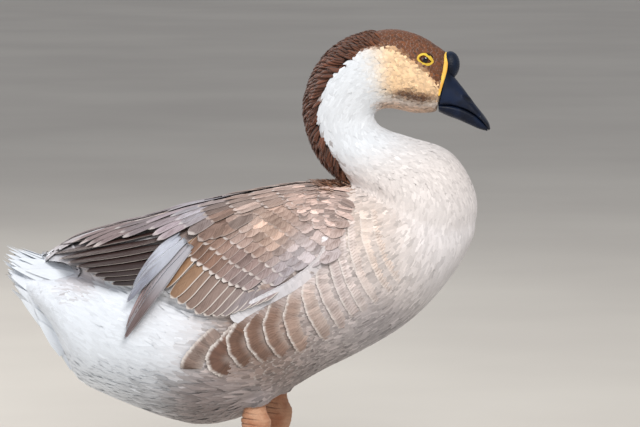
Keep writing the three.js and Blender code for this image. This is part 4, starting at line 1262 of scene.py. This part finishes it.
class GOOSE_OT_bill(bpy.types.Operator):
    """Upper and lower bill, nail, knob and the yellow band round the base"""

    bl_idname = "goose.bill"
    bl_label = "Bill and knob"

    def execute(self, context):
        horn = skin_like("Bill horn", (18, 32, 58), (8, 13, 26), 0.42, 900, 0.12, specular=0.22)
        turn = round_turn(128)
        t = np.linspace(0, BILL_END, 150)[:, None]
        rings = loft(UPPER_BILL, t, turn, 2.1)
        out = np.sign(rings[..., 1]) * (np.abs(rings[..., 1]) > 3)
        dx, dz = rings[..., 0] - NOSTRIL[0], rings[..., 2] - NOSTRIL[1]
        lengthwise, upright = dx * 0.84 - dz * 0.54, dx * 0.54 + dz * 0.84
        ring = np.hypot(lengthwise / 5.2, upright / 2.3)
        rings[..., 1] -= out * 2.2 * np.exp(-ring ** 2) - out * 0.5 * groove(ring, 1.5, 0.35)
        low = np.clip(-np.cos(turn), 0, 1)[None] + 0 * t
        lip = groove(low, 0.72, 0.12)
        rings[..., 1] -= out * 0.5 * lip * ramp(0.2, 1.2, t)
        # Painted shade: the nostril's pit darkened by up to three quarters and the groove along the
        # lip by a quarter.
        shade = 1 - 0.75 * np.exp(-ring ** 2 * 1.2) * np.abs(out) - 0.25 * lip
        tinted_tube("upper_bill", rings, horn, ["bill_upper"], shade,
                    ramp(0.75, 0.9, low) * ramp(0.8, 1.6, t) * (1 - ramp(4.6, 5.2, t)))
        t = np.linspace(NAIL_START, 8, 60)[:, None]
        rings = loft(UPPER_BILL, t, turn, 2.1)
        centre = rings.mean(1, keepdims=True)
        swell = 1.035 * (1 - 0.12 * groove(t, NAIL_START, 0.06))
        rings = centre + (rings - centre) * swell[..., None]
        tip = skin_like("Nail horn", (26, 32, 46), (14, 18, 28), 0.35, 700, 0.08, specular=0.35)
        tinted_tube("nail", rings, tip, ["bill_nail"])
        t = np.linspace(0, 6, 120)[:, None]
        rings = loft(LOWER_BILL, t, turn, 2.1)
        rings[..., 0] += 2.6 * ramp(4.4, 6, t)
        high = np.clip(np.cos(turn), 0, 1)[None] + 0 * t
        ridges = ramp(0.5, 0.8, high) * (1 - ramp(5, 5.6, t))
        # Painted shade: a darker line along the lower bill's upper side, where it meets the upper
        # bill.
        tinted_tube("lower_bill", rings, horn, ["bill_lower"],
                    1 - 0.3 * groove(high, 0.75, 0.15), ridges)

        rise = np.linspace(0.02, 0.98, 60)[:, None] * np.pi
        swell = 1 + 0.05 * np.cos(rise)
        ball = np.stack(np.broadcast_arrays(
            KNOB[0] + 10.6 * np.sin(rise) * np.cos(turn) * swell,
            13 * np.sin(rise) * np.sin(turn), KNOB[2] + 15.2 * np.cos(rise)), -1)
        crease = 1 - 0.02 * (1 + np.sin(ball[..., 2] * 2.2 + np.sin(ball[..., 1] * 0.5) * 2))
        ball = KNOB + (ball - KNOB) * crease[..., None] ** 0.5
        leather = skin_like("Knob", (20, 34, 56), (8, 13, 25), 0.38, 1100, 0.2, specular=0.22)
        tinted_tube("forehead_knob", ball[::-1], leather, ["knob"])

        arch = np.linspace(-1.62, 1.62, 161)[:, None]
        base = NECK[-1] * 0.6 + UPPER_BILL[0] * 0.4
        base[:2] = [223.2, 487.5]
        centre = oval(base[None], arch[:, 0])
        centre[:, 0] += 0.9 * np.sin(arch[:, 0] * 5.3) - 1.4
        inside = np.array([[base[0], 0, base[1]], [base[2], 0, base[3]]]).mean(0)
        outward = unit((centre - inside) * [0.2, 1, 1])
        forward = unit(np.array([1.0, 0, 0.1]) + 0 * centre)
        fade = np.sqrt(np.clip(1 - (np.abs(arch) / 1.63) ** 5, 0.02, 1))
        spin = round_turn(24)
        rings = (centre[:, None] + forward[:, None] * (3.0 * fade * np.cos(spin))[..., None]
                 + outward[:, None] * (1.9 * fade * np.sin(spin) + 0.2)[..., None])
        yellow = skin_like("Band skin", (246, 206, 84), (234, 172, 68), 0.5, 1500, 0.25)
        tinted_tube("bill_band", rings, yellow, [])
        return {"FINISHED"}


def polar(points, centre, turn):
    """Radius of a closed outline at each angle round its centre."""
    offset = np.array(points, float) - centre
    angle, radius = np.arctan2(offset[:, 1], offset[:, 0]), np.hypot(*offset.T)
    order = np.argsort(angle)
    angle, radius = angle[order], radius[order]
    return np.interp(turn, np.concatenate([angle - 2 * np.pi, angle, angle + 2 * np.pi]),
                     np.tile(radius, 3))


# The lids' inner and outer lines in the side view.
EYE_OPENING = [(191.6, 484.0), (193.6, 486.2), (196.7, 487.4), (199.8, 485.8), (202.4, 483.0),
               (205.2, 480.0), (201.4, 479.0), (197.4, 479.4), (193.8, 481.2)]
EYE_RING = [(188.6, 485.6), (192.0, 488.6), (197.4, 490.0), (202.4, 488.0), (206.2, 484.8),
            (208.2, 479.8), (204.8, 476.6), (200.2, 475.2), (195.6, 476.6), (191.4, 480.0)]


class GOOSE_OT_eyes(bpy.types.Operator):
    """Eyeballs with iris and pupil, and almond lids round them"""

    bl_idname = "goose.eyes"
    bl_label = "Eyes"

    def execute(self, context):
        glass = Shader("Eyeball", 0.08, coat=0.35, specular=0.3)
        tint = glass.add("ShaderNodeAttribute", attribute_name="tint")
        fibre = glass.steps(glass.noise(2600, 3), 0.3, 0.7)
        glass.colour(glass.blend(glass.maths("MULTIPLY", fibre, 0.35), tint.outputs["Color"],
                                 (0.12, 0.05, 0.02), "SOFT_LIGHT"))
        lid_skin = skin_like("Lid skin", (232, 204, 62), (214, 168, 52), 0.5, 2200, 0.3)
        rise, turn = np.linspace(0.01, 1, 60)[:, None] * np.pi, round_turn(64)
        middle = np.array([198.2, 482.6])
        lengths, rounds = 96, 24
        around = np.linspace(-np.pi, np.pi, lengths + 1)[:-1, None]
        across = round_turn(rounds)[None]
        share = 0.5 - 0.5 * np.cos(across)
        inner, outer = [polar(line, middle, around) for line in (EYE_OPENING, EYE_RING)]
        inner, outer = [(line + np.roll(line, 1, 0) + np.roll(line, -1, 0)) / 3
                        for line in (inner, outer)]
        outer = inner + (outer - inner) * 0.9
        radius = inner + (outer - inner) * share
        x, z = middle[0] + radius * np.cos(around), middle[1] + radius * np.sin(around)
        gap = np.clip(8.5 ** 2 - (x - EYE[0]) ** 2 - (z - EYE[2]) ** 2, 0, None)
        on_ball = EYE[1] + np.sqrt(gap)
        for name, side in SIDES.items():
            out = np.cos(rise)
            far = 7.8 + 0.5 * groove(rise, 0.0, 0.5)
            ball = np.stack(np.broadcast_arrays(
                EYE[0] + far * np.sin(rise) * np.cos(turn), side * (EYE[1] + far * out),
                EYE[2] + far * np.sin(rise) * np.sin(turn)), -1)
            eye = tube_object(f"eyeball_{name}", ball, glass.material)
            verts = read_mesh(eye.data)[0]
            away = np.hypot(verts[:, 0] - EYE[0], verts[:, 2] - EYE[2])
            iris = (ramp(2.7, 3.1, away) * (1 - ramp(5.2, 6.2, away)))[:, None]
            give_tint(eye, linear([6, 5, 5]) * (1 - iris) + iris * linear([84, 42, 16]))
            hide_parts(f"eye_{name}")

            foot = MODEL["ground"].land(np.stack([x, side * 25 + 0 * x, z], -1))[0]
            on_head = np.abs(foot[..., 1]) + 1.0
            y = on_ball * (1 - share) + on_head * share
            y = np.maximum(y, on_head - 0.5) + 0.95 * np.sin(across) - 0.25
            y += 0.12 * np.sin(around * 23) * np.sin(across)
            lids = np.stack([x, side * y, z], -1)
            faces = grid_faces(lengths + 1, rounds, True) % (lengths * rounds)
            lid = new_object(f"lids_{name}", lids.reshape(-1, 3), faces, lid_skin)
            # Painted shade: the lids darker along their inner edge, where they meet the eyeball.
            tinted(lid, 1 - 0.35 * groove(share, 0.0, 0.1) + 0 * y)
        return {"FINISHED"}


# The shank's sections from the top: height, shift forwards, and half its depth and width.
SHANK = np.array([
    (112, 0, 12.5, 11), (105.7, -1, 11.5, 10.5), (97, -1, 13.5, 11.3), (89, 0, 16.2, 12),
    (81, 0.5, 15.4, 11.4), (73, 0.5, 14, 10.5), (62, -0.5, 10.6, 8.4), (52, -1.5, 9, 7.2),
    (40, -2.2, 8.6, 7), (28, -3, 8.6, 7.2), (15, -4, 10, 9), (7, -3.5, 9, 9)], float)
# Each toe's length, its turn towards the bird's middle in degrees, and its thickness.
TOES = {"inner": (62, 31, 9.5), "middle": (79, 2, 11), "outer": (72, -27, 10),
        "hind": (24, 168, 7.5)}
STRIDE = {"right": 13.5, "left": 36}  # where each shank stands, by x
LEG_Y = 50
SCUTE = 4.6  # the height of one scale of the shank
WEB = 40  # rows and columns of a web's sheets


def heading(degrees, side):
    """Level directions along a toe and across it."""
    turn = np.radians(degrees)
    way = np.array([np.cos(turn), -side * np.sin(turn), 0])
    return way, np.array([-way[1], way[0], 0])


def lying_tube(centre, across, wide, height, turn):
    """Rings round a level line, half as wide as given, with their points at the given heights."""
    return centre + across * (wide * np.cos(turn))[..., None] + [0, 0, 1] * height[..., None]


class GOOSE_OT_legs(bpy.types.Operator):
    """Scaled shanks, webbed feet and claws"""

    bl_idname = "goose.legs"
    bl_label = "Legs and feet"

    def execute(self, context):
        scaly = skin_like("Leg skin", (200, 156, 126), (172, 112, 80), 0.6, 330, 0.5)
        webbing = skin_like("Web skin", (204, 150, 114), (172, 112, 80), 0.65, 700, 0.35)
        nails = skin_like("Claw horn", (72, 60, 52), (38, 32, 30), 0.35, 500, 0.1, coat=0.3)
        turn = round_turn(64)
        for name, side in SIDES.items():
            ankle = np.array([STRIDE[name] - 4, side * LEG_Y, 0.0])
            t = np.linspace(0, len(SHANK) - 1, 150)
            row = smoothly(table_rows(SHANK), SHANK, t)
            z, dx, deep, half = row.T[:, :, None]
            front = np.cos(turn)
            scale = np.abs(np.sin(z * np.pi / SCUTE))
            scutes = 0.35 * scale * ramp(0.1, 0.8, front)
            creases = -1.5 * np.clip(np.sin(z * 1.05 + 1.6 * front), 0, 1) ** 4
            creases = creases * ramp(-0.5, 0.3, -front) * groove(z, 91, 10)
            tendon = 0.5 * groove(front, -1, 0.25) * (1 - groove(z, 89, 18))
            swell = scutes + creases + tendon
            rings = np.stack(np.broadcast_arrays(
                STRIDE[name] + dx + (deep + swell) * np.sign(front) * np.abs(front) ** 0.95,
                side * LEG_Y + (half + swell * 0.6) * np.sin(turn), z), -1)
            # Painted shade in the creases behind the hock, and darker lines between the scutes on
            # the front.
            shade = 1 + 0.35 * creases - 0.1 * (1 - scale) * ramp(0.2, 0.8, front)
            parts = [(f"shank_skin_{name}", rings, shade)]
            for toe, (length, degrees, thick) in TOES.items():
                (way, across), u = heading(degrees, side), np.linspace(-0.08, 1, 60)[:, None]
                joints = 0.07 * np.cos(u * np.pi * (7 if length > 40 else 4))
                wide = thick / 2 * (1.12 - 0.42 * u + joints)
                wide = wide * np.sqrt(np.clip(1 - np.clip((u - 0.9) / 0.13, 0, 1) ** 2 * 0.7, 0, 1))
                high = wide * (0.95 + 0.35 * (1 - ramp(0, 0.3, u)))
                up = np.sin(turn)
                plates = 0.25 * np.abs(np.sin(u * length * np.pi / 3.4)) * ramp(0.2, 0.8, up)
                centre = ankle + way * (length * u)[..., None]
                height = np.maximum(high * 0.92 + (high + plates) * up, 0.35)
                rings = lying_tube(centre, across, wide, height, turn)
                parts.append((f"toe_{toe}_{name}", rings, 1 - 0.12 * (1 - 4 * plates) * (up > 0)))
            legs = [tinted_tube(part, rings, scaly, [], shade)
                    for part, rings, shade in parts]
            u, v = np.linspace(0.06, 1, WEB)[:, None], np.linspace(0, 1, WEB)[None]
            for first, second in (("inner", "middle"), ("middle", "outer")):
                (long_a, turn_a, _), (long_b, turn_b, _) = TOES[first], TOES[second]
                reach = (long_a + (long_b - long_a) * v) * 0.9 - 9 * np.sin(np.pi * v) ** 0.9
                angle = np.radians(turn_a + (turn_b - turn_a) * v)
                flat = [ankle[0] + u * reach * np.cos(angle),
                        ankle[1] - side * u * reach * np.sin(angle)]
                folds = 0.22 * np.sin(v * 37 + u * 3) * np.sin(np.pi * v) * ramp(0.1, 0.4, u)
                arch = 1.2 * (1 - np.sin(np.pi * v)) * (1 - u)
                top = np.stack(np.broadcast_arrays(*flat, 2.5 + folds + arch), -1)
                low = np.stack(np.broadcast_arrays(*flat, 0.5 + 0 * u * v), -1)
                border = (u > 0.99) | (u < 0.07) | (v > 0.99) | (v < 0.01)
                top[..., 2] = np.where(border, 1.4, top[..., 2])
                low[..., 2] = np.where(border, 1.3, low[..., 2])
                sheet = grid_faces(WEB, WEB)
                skirt = np.arange(WEB ** 2).reshape(WEB, WEB)
                edge = np.concatenate([skirt[0, :-1], skirt[:-1, -1], skirt[-1, :0:-1],
                                       skirt[:0:-1, 0]])
                following = np.roll(edge, -1)
                wall = np.stack([edge, following, following + WEB ** 2, edge + WEB ** 2], 1)
                faces = np.concatenate([sheet, sheet[:, ::-1] + WEB ** 2, wall])
                web = new_object(f"web_{first}_{name}", np.concatenate([top, low]).reshape(-1, 3),
                                 faces, webbing)
                # Painted shade: the web darker in the troughs of its folds.
                tinted(web, 1 - 0.3 * np.clip(-np.concatenate([folds + 0 * u * v] * 2), 0, 1))
                legs.append(web)
            for toe, (length, degrees, thick) in TOES.items():
                (way, across), u = heading(degrees, side), np.linspace(0, 1, 40)[:, None]
                wide = thick * 0.27 * (1 - u) ** 0.7 + 0.25
                tall = thick * 0.3 * (1 - u) ** 0.8 + 0.3
                axis = thick * 0.36 * (1 - u ** 1.6) + 0.9
                centre = ankle + way * (length - 3 + 13 * u)[..., None]
                height = np.maximum(axis + tall * np.sin(turn), 0.3)
                rings = lying_tube(centre, across, wide, height, turn)
                tinted_tube(f"claw_horn_{toe}_{name}", rings, nails, [f"claw_{name}_{toe}"])
            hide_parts(f"shank_{name}")
            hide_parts(f"foot_{name}")
        return {"FINISHED"}


# ------------------------------------------------------------------ settings


class GooseSkinSettings(bpy.types.PropertyGroup):
    """Sizes of the skin under the plumage."""

    voxel: FloatProperty(name="Voxel", description="Size at which the flesh is grown together",
                         default=0.003, min=0.0015, max=0.01, unit="LENGTH", subtype="DISTANCE")
    coat_depth: FloatProperty(name="Coat depth", description="Share of the full depth of plumage",
                              default=1.0, min=0.2, max=1.5)


class GooseCoatSettings(bpy.types.PropertyGroup):
    """Sizes and colours of the plumage."""

    crown: FloatVectorProperty(name="Crown", description="Brown of the crown", size=3, min=0, max=1,
                               subtype="COLOR", default=tuple(linear((98, 54, 24))))
    nape: FloatVectorProperty(name="Nape", description="Brown of the nape stripe", size=3, min=0,
                              max=1, subtype="COLOR", default=tuple(linear((96, 56, 38))))
    spacing: FloatProperty(name="Spacing", description="Distance between the breast's feathers",
                           default=0.005, min=0.003, max=0.012, unit="LENGTH", subtype="DISTANCE")


class GooseStageSettings(bpy.types.PropertyGroup):
    """Camera and light."""

    distance: FloatProperty(name="Camera distance", description="From the camera to the bird",
                            default=5.0, min=1.0, max=20.0, unit="LENGTH", subtype="DISTANCE")
    elevation: FloatProperty(name="Camera elevation", description="Height above the horizon",
                             default=np.radians(5.0), unit="ROTATION", subtype="ANGLE")
    key_power: FloatProperty(name="Key light", description="Power of the main soft light",
                             default=124.0, min=0.0, unit="POWER")


# ------------------------------------------------------------------ operators


class GOOSE_OT_skin(bpy.types.Operator):
    """One skin in place of the flesh, sunk by the depth of the plumage"""

    bl_idname = "goose.skin"
    bl_label = "Skin"

    def execute(self, context):
        build_ground()
        return {"FINISHED"}


BREAST_X, BELLY_X, RUMP_X = 140, 30, -110  # where one piece of the trunk's coat meets the next


class GOOSE_OT_coat(bpy.types.Operator):
    """Small feathers over head, neck, breast, belly and rear"""

    bl_idname = "goose.coat"
    bl_label = "Small feathers"

    def execute(self, context):
        verts, station = MODEL["ground"].verts, MODEL["station"]
        share, blend = MODEL["share"], MODEL["blend"]
        soft = plumage("Contour feathers", edge_colour=(0.86, 0.82, 0.79), streak=0.12, relief=0.2)
        x, z = verts[:, 0], verts[:, 2]
        eye = np.hypot((x - EYE[0] - 3) / 10.5, (z - EYE[2]) / 7.2) < 1
        face = (blend > 0.5) & (station > FACE[0]) & (station < FACE[1]) & ~eye
        ruff = (blend > 0.3) & (station > RUFF[0]) & (station < RUFF[1])
        ruff &= share < brown_reach(station) - 0.01
        neck = (blend > 0.5) & (station <= 11) & ~ruff
        rim = np.interp(x, *WING_EDGE.T)
        under = (z > rim - 1) & (x > -214) & (x < 112)
        under &= np.abs(verts[:, 1]) > np.interp(x, *BACK_GAP.T)
        trunk = (blend <= 0.5) & ~ruff & ~under
        coat_piece("head_feathers", face, 11, Vanes(4, 3, tip=0.3, thick=0.2, soft=0.85),
                   (2.9, 1.4), soft, "feathers_face", copies=3, low=0.3, edge=0.1)
        coat_piece("neck_feathers", neck, 21, Vanes(4, 3, tip=0.1, thick=0.2, soft=0.8, bow=0.65),
                   (4.6, 1.3), soft, "feathers_white", low=0.6, high=0.95, crown=0.2, edge=0.1,
                   shift=0.03)
        brown = plumage("Nape feathers", edge_colour=(0.3, 0.16, 0.1))
        coat_piece("nape_feathers", ruff, 31, Vanes(5, 3, root=0.6, tip=0.1, thick=0.4), (3.6, 0.9),
                   brown, "feathers_nape", spread=0.2, fan=0.9, stand=0.28, edge=0.0, shift=-0.06)
        front = trunk & (x > BELLY_X)
        pointed = dict(tip=0.12, thick=0.2, blunt=0.45, bow=0.65)
        coat_piece("breast_feathers", front & (x > BREAST_X), 41, Vanes(5, 3, soft=0.85, **pointed),
                   (5.0, 1.6), soft, "feathers_breast", low=0.65, high=0.95, crown=0.22, edge=0.2)
        coat_piece("belly_feathers", front & (x <= BREAST_X), 43, Vanes(5, 3, soft=0.7, **pointed),
                   (5.0, 1.6), soft, "feathers_breast", low=0.6, high=1.0, crown=0.18, edge=0.3)
        back = trunk & ~front
        silk = plumage("White plumes", edge_colour=(0.9, 0.91, 0.93), streak=0.1, relief=0.15,
                       sheen=0.4)
        for k, (name, chosen) in enumerate([("rump_feathers", back & (x < RUMP_X)),
                                            ("vent_feathers", back & (x >= RUMP_X))]):
            rear = Vanes(6, 3, root=0.6, tip=0.05, thick=0.2, soft=0.85, blunt=0.3, bow=0.7)
            roots = scatter(chosen, 51 + k)
            near = ramp(-17, -5, roots[:, 2] - np.interp(roots[:, 0], *WING_EDGE.T))
            near *= ramp(-216, -200, roots[:, 0]) * (np.abs(roots[:, 1]) > 30)
            lay_tufts(rear, roots, 53 + k, 6.6 - 3.6 * ramp(-185, -222, roots[:, 0]), 1.5,
                      low=0.7 - 0.6 * near, high=1 - 0.75 * near, crown=0.22, edge=0.1, spread=0.16,
                      stand=0.06 * ramp(150, 120, roots[:, 2]))
            rear.finish(name, silk, "feathers_white")
        return {"FINISHED"}


FLOOR = 14000  # from the floor's middle to its edges, in millimetres
# The lamps and the camera look at these points, in metres.
LAMP_AIM, CAMERA_AIM = Vector((0.02, 0, 0.25)), Vector((0.0836, 0, 0.312))
LENS, SENSOR = 255.7, 36


def aimed(obj, place, aim):
    """Puts a lamp or camera at a place, turned to look at a point."""
    obj.location = place
    obj.rotation_euler = (aim - obj.location).to_track_quat("-Z", "Y").to_euler()
    bpy.context.scene.collection.objects.link(obj)


class GOOSE_OT_stage(bpy.types.Operator):
    """Pale floor, soft lights and the camera"""

    bl_idname = "goose.stage"
    bl_label = "Stage"

    def execute(self, context):
        settings = context.scene.goose_stage
        scene = context.scene
        sweep = Shader("Pale floor", 0.85)
        cloud = sweep.steps(sweep.noise(1.3, 4), 0.2, 0.8)
        sweep.colour(sweep.blend(cloud, (0.52, 0.49, 0.45), (0.6, 0.57, 0.52)))
        sweep.bump(sweep.noise(220), 0.05, 0.001)
        reach = np.linspace(-FLOOR, FLOOR, 29)
        sheet = np.stack(np.broadcast_arrays(reach[:, None], reach[None], 0.0), -1)
        tiles = grid_faces(len(reach), len(reach))
        floor = new_object("floor", sheet.reshape(-1, 3), tiles, sweep.material)
        world = scene.world or bpy.data.worlds.new("World")
        scene.world = world
        world.use_nodes = True
        light = world.node_tree.nodes["Background"]
        light.inputs["Color"].default_value = (0.95, 0.96, 1.0, 1)
        light.inputs["Strength"].default_value = 0.46
        for name, place, size, power, colour in [
                ("key", (0.9, -2.9, 2.9), 1.6, settings.key_power, (1.0, 0.975, 0.94)),
                ("fill", (-2.6, -2.0, 1.6), 2.2, settings.key_power * 0.25, (0.9, 0.95, 1.0)),
                ("back", (-2.0, 1.6, 1.9), 1.8, settings.key_power * 0.48, (1.0, 0.98, 0.95))]:
            lamp = bpy.data.lights.new(name, "AREA")
            lamp.size, lamp.energy, lamp.color = size, power, colour
            aimed(bpy.data.objects.new(name, lamp), place, LAMP_AIM)
        lens = bpy.data.cameras.new("camera")
        lens.sensor_width, lens.lens = SENSOR, LENS
        lens.clip_end = 100
        camera = bpy.data.objects.new("camera", lens)
        rise = settings.elevation
        away = settings.distance * Vector((0, -np.cos(rise), np.sin(rise)))
        aimed(camera, CAMERA_AIM + away, CAMERA_AIM)
        scene.camera = camera
        scene.view_settings.view_transform = "Standard"
        return {"FINISHED"}


class GOOSE_PT_panel(bpy.types.Panel):
    """Buttons for each piece of the goose"""

    bl_label = "Goose"
    bl_idname = "GOOSE_PT_panel"
    bl_space_type = "VIEW_3D"
    bl_region_type = "UI"
    bl_category = "Goose"

    def draw(self, context):
        for group in ("goose_skin", "goose_coat", "goose_stage"):
            box = self.layout.box()
            settings = getattr(context.scene, group)
            for name in settings.__annotations__:
                box.prop(settings, name)
        for operator in OPERATORS:
            self.layout.operator(operator.bl_idname)


SETTINGS = {"goose_skin": GooseSkinSettings, "goose_coat": GooseCoatSettings,
            "goose_stage": GooseStageSettings}
OPERATORS = [GOOSE_OT_skin, GOOSE_OT_coat, GOOSE_OT_wings, GOOSE_OT_flanks, GOOSE_OT_tail,
             GOOSE_OT_bill, GOOSE_OT_eyes, GOOSE_OT_legs, GOOSE_OT_stage]


def register():
    for cls in [*SETTINGS.values(), *OPERATORS, GOOSE_PT_panel]:
        bpy.utils.register_class(cls)
    for name, cls in SETTINGS.items():
        setattr(bpy.types.Scene, name, PointerProperty(type=cls))


def unregister():
    for name in SETTINGS:
        delattr(bpy.types.Scene, name)
    for cls in [GOOSE_PT_panel, *reversed(OPERATORS), *reversed(SETTINGS.values())]:
        bpy.utils.unregister_class(cls)


def main():
    register()
    for operator in OPERATORS:
        group, name = operator.bl_idname.split(".")
        getattr(getattr(bpy.ops, group), name)()


if __name__ == "__main__":
    main()
